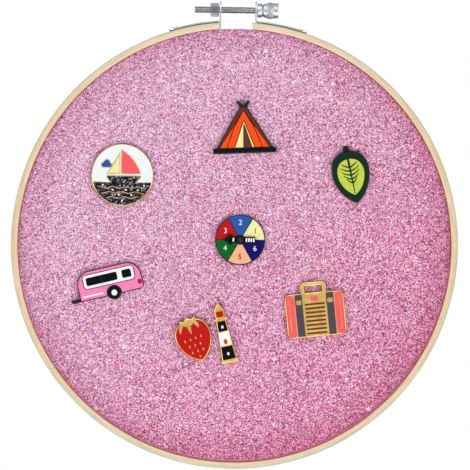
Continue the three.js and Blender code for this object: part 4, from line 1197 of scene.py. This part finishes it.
def leaf_blade(inset):
    """Two mirrored curves: round above, running out to a tip below."""
    width, height = LEAF_WIDTH - 2 * inset, LEAF_HEIGHT - LEAF_STEM - 3 * inset
    right = bezier((0, -height / 2), (0.62 * width, -0.25 * height), (0.69 * width, 0.5 * height),
                   (0, 0.5 * height), steps=40)
    left = right * [-1, 1]
    return np.concatenate([right, [(0, height / 2)], left[:0:-1]]) - [0, LEAF_STEM / 2]


half_blade = (LEAF_HEIGHT - LEAF_STEM) / 2
crown = half_blade - LEAF_STEM / 2
blade = leaf_blade(0)
stem = rounded_box(-LEAF_STEM / 2, half_blade - LEAF_STEM, LEAF_STEM / 2, LEAF_HEIGHT / 2, LEAF_STEM / 3)
shoulder = blade[(np.abs(blade[:, 0]) > LEAF_STEM / 2) | (blade[:, 1] < 0)]
gap = np.flatnonzero((np.diff(shoulder[:, 0]) < -LEAF_STEM * 0.9) & (shoulder[:-1, 1] > crown - 1))[0] + 1
outline = np.concatenate([shoulder[:gap], stem[stem[:, 1] > crown - 0.2], shoulder[gap:]])
spine = np.linspace(crown - 3.6, -half_blade + 3.2, 24)
veins = [stroke(np.stack([0 * spine, spine], 1), np.linspace(1.0, 0.35, 24))]
for level, reach in VEINS:
    root = level * (crown - 4.5) - 1.2
    for side in (-1, 1):
        path = bezier((0, root), (side * reach * 0.55, root + 0.4), (side * reach, root + 2.3), steps=14)
        veins.append(stroke(path, np.linspace(0.75, 0.3, 14)))
struck("leaf", outline, [
    ("border_fill", [leaf_blade(RIM_WIDTH)], "dark_green", 0, "leaf_border"),
    ("blade_fill", [leaf_blade(RIM_WIDTH + LEAF_BORDER)], "leaf_green", 0.35, "leaf_blade"),
    ("vein_fill", veins, "dark_green", 0, None),
], plating="black")

# %% [markdown]
# ## Two pins from straight lines: a tent and a lighthouse
# Straight outlines are lists of corners. The corners are slightly eased, because a die never cuts a perfectly
# sharp one. The tent's seams and grass are raised lines, and the lighthouse's courses follow one taper.

# %% Tent
half, top, TURF = 29.2 / 2, 24.3 / 2, 2.6
ground = -top + TURF
eave, apex, sill = 0.89 * half, 0.74 * top, ground + LINE_WIDTH / 2
outline = eased([(-half, -top), (half, -top), (half, ground), (eave, ground), (0.12 * half, apex),
                 (0.23 * half, 0.96 * top), (0.14 * half, top), (0, 0.82 * top), (-0.14 * half, top),
                 (-0.23 * half, 0.96 * top), (-0.12 * half, apex), (-eave, ground), (-half, ground)], 0.45)
poles = eased([(-0.835 * half, sill), (0.835 * half, sill), (0.08 * half, 0.72 * top),
               (-0.08 * half, 0.72 * top)], 0.3)
canvas = eased([(-0.77 * half, sill), (0.77 * half, sill), (0, 0.6 * top)], 0.5)
doorway = eased([(-0.3 * half, sill), (0.3 * half, sill), (0, 0.22 * top)], 0.4)
flap = eased([(-0.02 * half, sill), (0.22 * half, sill), (0, 0.08 * top)], 0.3)
turf = rounded_box(-half + RIM_WIDTH, -top + RIM_WIDTH, half - RIM_WIDTH, ground - LINE_WIDTH / 2, 0.4)
seam = np.array([(0.06 * half, 0.5 * top), (0.3 * half, 0.02 * top), (0.56 * half, sill)])
seams = [stroke(seam * [side, 1], 0.34) for side in (-1, 1)]
tufts = [stroke([(x, -top + RIM_WIDTH), (x + 0.5, ground - 0.5)], 0.3) for x in np.linspace(-12.5, 12, 9)]
struck("tent", outline, [
    ("pole_fill", [poles], "brown", 0, None),
    ("canvas_fill", [canvas], "orange", FINE_LINE, "tent_canvas"),
    ("doorway_fill", [doorway], "cream", LINE_WIDTH, "tent_doorway"),
    ("flap_fill", [flap], "brown", FINE_LINE, None),
    ("ground_fill", [turf], "black", 0, "tent_ground"),
], seams + tufts, plating="black")

# %% Lighthouse
half, top = 8.2 / 2, 28 / 2
plinth, gallery, rail, eaves = -0.88 * top, 0.42 * top, 0.51 * top, 0.76 * top
white_low, white_high = -0.42 * top, 0.06 * top


def tower(z):
    """Half the width of the tower: it narrows evenly from the plinth to the gallery."""
    return half * (0.86 - 0.28 * (z - plinth) / (gallery - plinth))


def course(low, high):
    """One band of the tower between two heights, with half a line of metal left at each."""
    low, high = low + LINE_WIDTH / 2, high - LINE_WIDTH / 2
    wide, narrow = tower(low) - RIM_WIDTH, tower(high) - RIM_WIDTH
    return eased([(-wide, low), (wide, low), (narrow, high), (-narrow, high)], 0.2)


right = [(half, -top), (half, plinth), (tower(plinth), plinth), (tower(gallery), gallery),
         (0.8 * half, gallery), (0.8 * half, rail), (0.56 * half, rail), (0.56 * half, eaves),
         (0.66 * half, eaves), (0.1 * half, top)]
outline = eased(right + [(-x, z) for x, z in right[::-1]], 0.25)
lantern = rounded_box(-0.56 * half + 0.6, rail + 0.45, 0.56 * half - 0.6, eaves - 0.35, 0.3)
panes = [rounded_box(-0.5, z, 0.5, z + 1.3, 0.4) for z in (-10.2, 2.3)]
struck("lighthouse", outline, [
    ("foot_fill", [course(plinth, white_low)], "black", 0, "lighthouse_foot"),
    ("band_fill", [course(white_low, white_high)], "white", 0, "lighthouse_band"),
    ("shaft_fill", [course(white_high, gallery)], "black", 0, "lighthouse_shaft"),
    ("lantern_fill", [lantern], "red", 0, None),
    ("pane_fill", panes, "white", 0, None),
    ("door_fill", [rounded_box(-0.55, -4.9, 0.55, -2.9, 0.5)], "red", FINE_LINE, None),
])

# %% [markdown]
# ## The strawberry and the suitcase
# The strawberry is one pocket of red, and its seeds and leaves are raised gold. The suitcase is mostly boxes:
# panels, straps and ribs are cells, buckles and grooves are raised lines, and the hole under its handle is a
# window that goes right through the plate. One needs curves and the other boxes, and `struck` takes both.

# %% Strawberry
width, height = 16.6, 21.4
LEAVES = ((-3.0, -2.0, 0.2), (-0.6, 0.2, 0.12), (1.6, 2.2, 0.2))
SEED_ROWS = ((0.02, 4.4, 0.0), (-0.12, 4.2, 1.0), (-0.26, 2.9, 0.0), (-0.38, 1.2, 1.0))
SEED_GAP, SEED_SIZE = 2.6, (0.34, 0.6)


def fruit_curve(wide, tall):
    """From one shoulder, round the tip, to the other."""
    left = [(-0.22, 0.42), (-0.68, 0.3), (-0.55, -0.3), (0, -0.5)]
    right = [(-x, z) for x, z in left[::-1]]
    down, up = (bezier(*(np.array(side) * [wide, tall]), steps=30) for side in (left, right))
    return np.concatenate([down, up, [(0.22 * wide, 0.42 * tall)]])


def leaf_tip(x, lean, drop):
    """A leaf that hangs from the crown to a tip, between two curves."""
    tip = (x + lean, drop * height)
    return np.concatenate([bezier((x, 0.4 * height), (x + lean - 1.3, 0.3 * height), tip, steps=10),
                           bezier(tip, (x + lean + 1.3, 0.3 * height), (x + 1.2, 0.41 * height), steps=10)])


crown = np.array([(0.27, 0.5), (0.11, 0.44), (0, 0.5), (-0.11, 0.44), (-0.27, 0.5)]) * [width, height]
outline = np.concatenate([fruit_curve(width, height), crown])
inner = np.array([width - 2 * RIM_WIDTH, height - 3 * RIM_WIDTH])
collar = bezier(inner * [0.22, 0.42], (0, 0.2 * height), inner * [-0.22, 0.42])[1:]
fruit = np.concatenate([fruit_curve(*inner), collar])
seeds = [disc(1, steps=16) * SEED_SIZE + [x, z * height] for z, across, shift in SEED_ROWS
         for x in np.arange(-across, across + 0.01, SEED_GAP) + shift if abs(x) <= across + 0.2]
struck("strawberry", outline, [("fruit_fill", [fruit], "red", 0, "strawberry_fruit")],
       seeds + [leaf_tip(*leaf) for leaf in LEAVES])

# %% Suitcase
half, CASE_HEIGHT, HANDLE_RISE = 27.3 / 2, 20.4, 5.0
HANDLE_WIDTH, HANDLE_BAR, CASE_CORNER = 12.0, 2.0, 2.6
STRAP_WIDTH, STRAP_SPREAD = 3.4, 14.4
base = -(CASE_HEIGHT + HANDLE_RISE) / 2
lid = base + CASE_HEIGHT
grip, hold = lid + HANDLE_RISE, HANDLE_WIDTH / 2
low, high = base + RIM_WIDTH, lid - RIM_WIDTH
strap_in, strap_out = (STRAP_SPREAD - STRAP_WIDTH) / 2, (STRAP_SPREAD + STRAP_WIDTH) / 2
case = rounded_box(-half, base, half, lid, CASE_CORNER)
handle = rounded_box(-hold, lid - HANDLE_BAR, hold, grip, HANDLE_BAR)
right_side, left_side = np.split(case, 2)
outline = np.concatenate([right_side, [(hold, lid)], handle[handle[:, 1] > lid], [(-hold, lid)], left_side])
opening = rounded_box(-hold + HANDLE_BAR, lid + 0.2, hold - HANDLE_BAR, grip - HANDLE_BAR, 0.7)


def panel(left, right, corner):
    """A rounded box as high as the case's inside."""
    return rounded_box(left, low, right, high, corner)


ribs = [rounded_box(-strap_in + 0.9, z, strap_in - 0.9, z + 0.85, 0.3)
        for z in np.linspace(low + 0.9, high - 5.2, 8)]
buckles = [rounded_box(middle - 1.2, high - 4.6, middle + 1.2, high - 2.6, 0.4)
           for middle in (-STRAP_SPREAD / 2, STRAP_SPREAD / 2)]
grooves = [stroke([(x, low + 2.2), (x, high - 2.2)], 0.4) for x in (2.1 - half, half - 2.1)]
corner = CASE_CORNER - RIM_WIDTH
struck("suitcase", outline, [
    ("left_panel_fill", [panel(-half + RIM_WIDTH, -strap_out - LINE_WIDTH, corner)], "coral", 0,
     "suitcase_left_panel"),
    ("left_strap_fill", [panel(-strap_out, -strap_in, LINE_WIDTH)], "grey", 0, "suitcase_left_strap"),
    ("right_strap_fill", [panel(strap_in, strap_out, LINE_WIDTH)], "grey", 0, "suitcase_right_strap"),
    ("right_panel_fill", [panel(strap_out + LINE_WIDTH, half - RIM_WIDTH, corner)], "coral", 0,
     "suitcase_right_panel"),
    ("rib_fill", ribs, "brown", 0, None),
    ("lock_fill", [rounded_box(-1.6, high - 3.2, 1.6, high - 1.2, 0.4)], "coral", 0, None),
], buckles + grooves, [opening])

# %% [markdown]
# ## The caravan
# Its wheel hangs below the floor. A box joined with a disc would need the join trimmed, so one outline runs
# along the floor, round the wheel and on, as arcs that meet where they touch.

# %% Caravan
LENGTH, HEIGHT, TOW, TOW_HEIGHT = 34.0, 15.6, 4.0, 1.7
SKIRT, WHEEL = 2.0, 3.2
left, right, top = -LENGTH / 2 + TOW, LENGTH / 2, HEIGHT / 2
sole, nose = -top + 0.7 * WHEEL, 0.42 * HEIGHT
wheel_x, axle = (left + right) / 2 + 1, -top + WHEEL
dip = math.degrees(math.asin((sole - axle) / WHEEL))
sill, side = sole + RIM_WIDTH, right - RIM_WIDTH


def roof(radius):
    """The two rounded ends of the roof, from the back to the front."""
    return [arc((right - nose, top - nose), radius, 0, 90, 20),
            arc((left + nose, top - nose), radius, 90, 180, 20)]


outline = np.concatenate([
    [(-LENGTH / 2, sole)],
    arc((wheel_x, axle), WHEEL, 180 - dip, 360 + dip, 32),
    arc((right - SKIRT, sole + SKIRT), SKIRT, -90, 0, 10),
    *roof(nose),
    [(left, sole + TOW_HEIGHT), (-LENGTH / 2, sole + TOW_HEIGHT)],
])
shell = np.concatenate([
    [(left + RIM_WIDTH, sill)],
    arc((wheel_x, axle), WHEEL + LINE_WIDTH, 180 - dip / 2, dip / 2, 24),
    eased([(side - 2, sill), (side, sill), (side, sill + 2)], 1.2, closed=False),
    *roof(nose - RIM_WIDTH),
])
band = np.array([left + 3.2, axle + WHEEL + 1.1, right - 3.2, top - 1.9])
glass_low, glass_high = band[1] + 1.25, band[3] - 1.25
pane = rounded_box(band[0] + 1.25, glass_low, band[0] + 15.75, glass_high, 0.8)
porthole = rounded_box(band[2] - 5.6, glass_low, band[2] - 1.3, glass_high, 0.8)
lamp = rounded_box(right - 2.1, sole + 2.6, right - 1.0, sole + 4.2, 0.4)
stripe = rounded_box(left + 1.5, sole + 1.6, wheel_x - WHEEL - 1.6, sole + 2.3, 0.3)
bar_x = pane[:, 0].mean()
struck("caravan", outline, [
    ("shell_fill", [shell], "pink", 0, "caravan_shell"),
    ("band_fill", [rounded_box(*band, 1.4)], "white", 0.35, "caravan_band"),
    ("window_fill", [pane], "black", 0, "caravan_window"),
    ("porthole_fill", [porthole], "black", 0, None),
    ("tyre_fill", [disc(WHEEL - 0.35, (wheel_x, axle), 40)], "black", 0.35, None),
    ("hub_fill", [disc(1.35, (wheel_x, axle), 28)], "white", FINE_LINE, None),
    ("lamp_fill", [lamp], "red", 0.25, None),
    ("stripe_fill", [stripe], "white", 0, None),
], [stroke([(bar_x, glass_low), (bar_x, glass_high)], 0.5)], plating="black")

# %% [markdown]
# ## The spinner
# Six wedges round a bare hub carry plain numbers, as on a game's dial. Text is the short way to such shapes,
# so the numbers are text, made a mesh and laid on the enamel. The pointer turns on a rivet in the middle.

# %% Spinner plate
radius, hub = 23.1 / 2, 4.6 / 2
field = radius - RIM_WIDTH
wedge_colours = ["cream", "blue", "red", "green", "peach", "navy"]
span = 360 / len(wedge_colours)
slip_out, slip_in = (math.degrees(math.asin(LINE_WIDTH / 2 / reach)) for reach in (field, hub))
wedges = []
for number, colour in enumerate(wedge_colours):
    start, stop = number * span, (number + 1) * span
    loop = np.concatenate([arc((0, 0), field, start + slip_out, stop - slip_out, 24),
                           arc((0, 0), hub, stop - slip_in, start + slip_in, 10)])
    wedges.append((f"wedge_fill_{number + 1}", [loop], colour, 0, f"spinner_wedge_{number + 1}"))
struck("spinner", disc(radius, steps=120), wedges, plating="black")

# %% Numbers
NUMBER_SIZE, NUMBER_RADIUS, NUMBER_DEPTH, NUMBER_SINK = 3.4, 7.9, 0.12, 0.08
spinner_front = corners("spinner_plate")[0][1]


def numeral(number, ink):
    """Text laid flat, turned to the front and moved to the middle of its wedge."""
    text = bpy.data.curves.new(f"digit_{number}", "FONT")
    text.body = str(number)
    text.size, text.extrude = NUMBER_SIZE * MM, NUMBER_DEPTH * MM
    text.align_x, text.align_y = "CENTER", "CENTER"
    holder = placed(text.name, text)
    mesh = bpy.data.meshes.new_from_object(holder.evaluated_get(bpy.context.evaluated_depsgraph_get()))
    bpy.data.objects.remove(holder)
    middle = math.radians((number - 0.5) * span)
    spot = (NUMBER_RADIUS * math.cos(middle), NUMBER_RADIUS * math.sin(middle))
    x, y, z = on_pin("spinner", [spot], spinner_front + NUMBER_SINK)[0] * MM
    mesh.transform(Matrix(((1, 0, 0, x), (0, 0, -1, y), (0, 1, 0, z), (0, 0, 0, 1))))
    mesh.materials.clear()
    mesh.materials.append(ENAMEL[ink])
    made = placed(f"spinner_number_{number}", mesh)
    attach(made, "spinner_pin")


for number, colour in enumerate(wedge_colours, 1):
    numeral(number, "black" if colour in ("cream", "peach") else "white")
print(len(wedge_colours), "numbers on the dial")

# %% Pointer
SHAFT, BOSS_RADIUS, ARROW_LENGTH, POINTER_EASE = 1.5, 2.0, 3.6, 0.7
TICKS, TICK_HALF, TICK_REACH, TICK_RISE, TICK_SINK = (-3.1, 2.9, 4.0, 5.1, 6.2), 0.36, 0.9, 0.03, 0.2
pointer_low, pointer_high = corners("spinner_pointer")
spinner_x, spinner_z, _ = PINS["spinner"]
tip, tail = pointer_low[0] - spinner_x, pointer_high[0] - spinner_x
barb = (pointer_high[2] - pointer_low[2]) / 2


def slab(name, loop, front, back, ease):
    """A flat piece from a loop, whose front edge is rounded like a pin's rim, on a smaller scale."""
    loop = anticlockwise(loop)
    flat, triangles = split([loop, *(grow(loop, -inset * ease) for inset, _ in RIM_ROUND[1:])])
    triangles = triangles[inside(flat[triangles].mean(1), loop)]
    levels = (front + rim_drop(flat, [loop], ease), back)
    points = np.concatenate([on_pin(name, flat, depth) for depth in levels])
    count = len(flat)
    return points, triangles.tolist() + (triangles[:, ::-1] + count).tolist() + walls(triangles, 0, count)


neck = np.sqrt(BOSS_RADIUS**2 - SHAFT**2) + 0.2
boss = math.degrees(math.asin(SHAFT / BOSS_RADIUS))
shoulder = tip + ARROW_LENGTH
barbs = [(shoulder, SHAFT), (shoulder, barb), (tip, 0), (shoulder, -barb), (shoulder, -SHAFT)]
arrow = np.concatenate([
    eased(barbs, 0.4, closed=False),
    arc((0, 0), BOSS_RADIUS, 180 + boss, 360 - boss, 16),
    eased([(neck, -SHAFT), (tail, -SHAFT), (tail, SHAFT), (neck, SHAFT)], 0.5, closed=False),
    arc((0, 0), BOSS_RADIUS, boss, 180 - boss, 16),
])
parts = [slab("spinner", arrow, pointer_low[1], pointer_high[1], POINTER_EASE)]
piece("spinner_arrow", parts, ENAMEL["black"], "enamel_black", "pointer", ["spinner_pointer"], sharp=50)
ticks = [slab("spinner", rounded_box(x - TICK_HALF, -TICK_REACH, x + TICK_HALF, TICK_REACH, 0.2),
              pointer_low[1] - TICK_RISE, pointer_low[1] + TICK_SINK, 0.1) for x in TICKS]
piece("spinner_arrow_ticks", ticks, ENAMEL["white"], "enamel_white", "pointer")
print("pointer with", len(ticks), "ticks")

# %% Rivet of the pointer
STUD_RADIUS, STUD_SEAT = 0.75, 0.1
rivet_low, rivet_high = corners("spinner_rivet")
seat = pointer_low[1] - STUD_SEAT
shank = [(0, rivet_high[1]), (STUD_RADIUS, rivet_high[1]), (STUD_RADIUS, seat)]
stud = turned([*shank, *dome((rivet_high[0] - rivet_low[0]) / 2, seat, rivet_low[1])], 32)
piece("spinner_stud", [skin(stud + [spinner_x, 0, hoop_z + spinner_z])], BLACK_NICKEL, "dark_plate",
      "spinner_pin", ["spinner_rivet"])
print("rivet", stud.shape)

# %% [markdown]
# ## The clutches
# Behind the cloth, a rubber clutch sits on every post: a wide flange, a tapered body with moulded grip rings,
# and a dimple in its end. Each could be modelled on its own, but all of them came out of one mould, so one
# turned profile serves them all, each at the place of its own node.

# %% Clutches
BORE, BORE_DEPTH, FLANGE_DEPTH, BODY_FOOT, BODY_TAPER, RING_RISE = 0.67, 0.6, 1.8, 3.5, 0.7, 0.16
low, high = corners("sailboat_clutch_1")
flange, front, back = (high[0] - low[0]) / 2, low[1], high[1]
shoulder, bore_end = front + FLANGE_DEPTH, front + BORE_DEPTH
share = np.linspace(0, 1, 33)
grip = RING_RISE * np.maximum(np.sin(share * 5 * np.pi - 0.5), 0) ** 2
profile = np.concatenate([
    [(0, bore_end)],
    eased([(BORE, bore_end), (BORE, front), (flange, front), (flange, shoulder), (3.6, shoulder)], 0.45,
          closed=False),
    np.stack([BODY_FOOT - BODY_TAPER * share + grip, shoulder + share * (back - front - 2.3)], 1),
    eased([(2.8, back - 0.2), (2.7, back), (1.3, back), (0.9, back - 0.35), (0, back - 0.4)], 0.25,
          closed=False),
])
clutch = turned(profile, 40)
bodies = frame["record"]["behaviour"]["bodies"]
body_of_node = {node: body for body, nodes in bodies.items() for node in nodes}
places = {node: middle for name in PINS for node, middle in clutch_places(name).items()}
for node, middle in places.items():
    piece(node.replace("clutch", "rubber"), [skin(clutch + middle)], RUBBER, "clutch_rubber",
          body_of_node[node], [node])
print(len(places), "clutches of", len(profile), "rings")

# %% [markdown]
# ## Light, floor and camera
# The picture is a plain product shot: a long lens straight at the hoop, a white ground, and soft light from
# all round the front, a little stronger from below, so that every pin throws a faint shade upwards. One big
# lamp would light one side only. Four far lamps of some width stand round the front, a fifth lights the back,
# and a dim world fills the rest. White shows only to the camera and in reflections, so that the white ground
# doesn't flood the hoop with light.

# %% World and lamps
AMBIENT = 0.24
AMBIENT_COLOUR = (1.0, 0.95, 0.94, 1.0)
SUNS = {
    "low": (1.0, 12, (-0.1, 0.66, 0.74)), "left": (1.155, 18, (0.74, 0.64, 0.2)),
    "right": (1.155, 18, (-0.74, 0.64, 0.2)), "top": (0.49, 30, (0.1, 0.7, -0.7)),
    "back": (1.3, 40, (0.35, -0.75, -0.55)),
}
world = bpy.data.worlds.new("studio")
bpy.context.scene.world = world
world.use_nodes = True
sky = Patterns(world.node_tree)
sky.tree.nodes.remove(sky.tree.nodes["Background"])
soft = sky.node("Background", inputs={"Color": AMBIENT_COLOUR, "Strength": AMBIENT})
shown = sky.node("Background", inputs={"Color": (1, 1, 1, 1), "Strength": 1.0})
either = sky.node("MixShader", inputs={0: sky.seen(), 1: soft, 2: shown})
plug(sky.tree.nodes["World Output"].inputs["Surface"], either)


def sun(name, strength, spread, towards):
    """A far lamp of a given angular width, in degrees, whose light travels along a direction."""
    lamp = bpy.data.lights.new(name, "SUN")
    lamp.energy = strength
    lamp.angle = math.radians(spread)
    z = -np.array(towards, float) / np.linalg.norm(towards)
    x = np.cross((0, 0, 1), z)
    x /= np.linalg.norm(x)
    placed(name, lamp).matrix_world = Matrix(np.stack([x, np.cross(z, x), z], 1).tolist()).to_4x4()


for name, settings in SUNS.items():
    sun(name, *settings)
print("world", AMBIENT, "and", len(SUNS), "lamps")


# %% Floor
FLOOR_DROP, FLOOR_RADIUS, FLOOR_GLOW = 55.0, 0.9, 0.8


def stage_disc(name, radius, place, finish):
    """A flat disc of rings and spokes, moved to its place in the studio."""
    rings = np.linspace(0, radius, 10)[:, None]
    angle = np.linspace(0, 2 * np.pi, 64, endpoint=False)[None, :]
    points, faces = skin(np.stack([rings * np.cos(angle), rings * np.sin(angle), 0 * rings * angle], -1))
    mesh = bpy.data.meshes.new(name)
    mesh.from_pydata(points.tolist(), [], faces)
    mesh.transform(place)
    mesh.materials.append(finish.material)
    made = placed(name, mesh)
    made.visible_shadow = False
    made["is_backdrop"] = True
    return made


floor_level = (hoop_z - outer_radius - FLOOR_DROP) * MM
pale = Finish("pale_floor", Roughness=0.8)
whites = [(0.3, paint(240, 239, 237)), (0.7, paint(246, 245, 244))]
pale.feed("Base Color", pale.ramp(pale.noise(pale.at(), 6.0, 3.0), whites))
lit, glow = Value(pale.shader.outputs[0]), pale.node("Emission", inputs={"Color": (1, 1, 1, 1)})
lifted = pale.node("MixShader", inputs={0: pale.seen() * FLOOR_GLOW, 1: lit, 2: glow})
plug(pale.tree.nodes["Material Output"].inputs["Surface"], lifted)
stage_disc("floor", FLOOR_RADIUS, Matrix.Translation((0, 0, floor_level)), pale)
print("floor at", round(floor_level, 3), "m")


# %% Dim cards
def card(name, glow, radius, depth):
    """A dim upright disc that only reflections see: it gives shine something darker than the white room."""
    dim = Finish(name, Base_Color=(0, 0, 0, 1), Roughness=1.0, Emission_Color=(1, 1, 1, 1),
                 Emission_Strength=glow)
    upright = Matrix.Translation((0, depth, hoop_z * MM)) @ Matrix.Rotation(math.pi / 2, 4, "X")
    made = stage_disc(name, radius, upright, dim)
    made.visible_camera = made.visible_diffuse = made.visible_transmission = False


card("card_in_front", 0.5, 0.9, -2.8)
card("card_behind", 0.16, 2.6, 1.0)
print("two cards")

# %% Camera
PIXELS, HOOP_PIXELS = 470, 223.56
HOOP_PIXEL_X, HOOP_PIXEL_Y = 234.4, 245.4
ROLL_DEGREES, DISTANCE = 0.95, 2.4
scale = outer_radius * MM / HOOP_PIXELS
camera = bpy.data.cameras.new("camera")
camera.sensor_width = 36.0
camera.lens = camera.sensor_width * DISTANCE / (PIXELS * scale)
eye = placed("camera", camera)
right_shift, up_shift = (PIXELS / 2 - HOOP_PIXEL_X) * scale, (HOOP_PIXEL_Y - PIXELS / 2) * scale
eye.matrix_world = (Matrix.Translation((0, 0, hoop_z * MM))
                    @ Matrix.Rotation(-math.radians(ROLL_DEGREES), 4, "Y")
                    @ Matrix.Translation((right_shift, -DISTANCE + outer_low[1] * MM, up_shift))
                    @ Matrix.Rotation(math.pi / 2, 4, "X"))
bpy.context.scene.camera = eye
bpy.context.scene.view_settings.view_transform = "Standard"
print("lens", round(camera.lens), "mm")

# %% [markdown]
# ## Closing the lesson
# The box of the dressed hoop, over every shown piece but the stage, is worked out at the end.

# %% Sizes and finish
bpy.context.view_layer.update()
low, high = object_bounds()
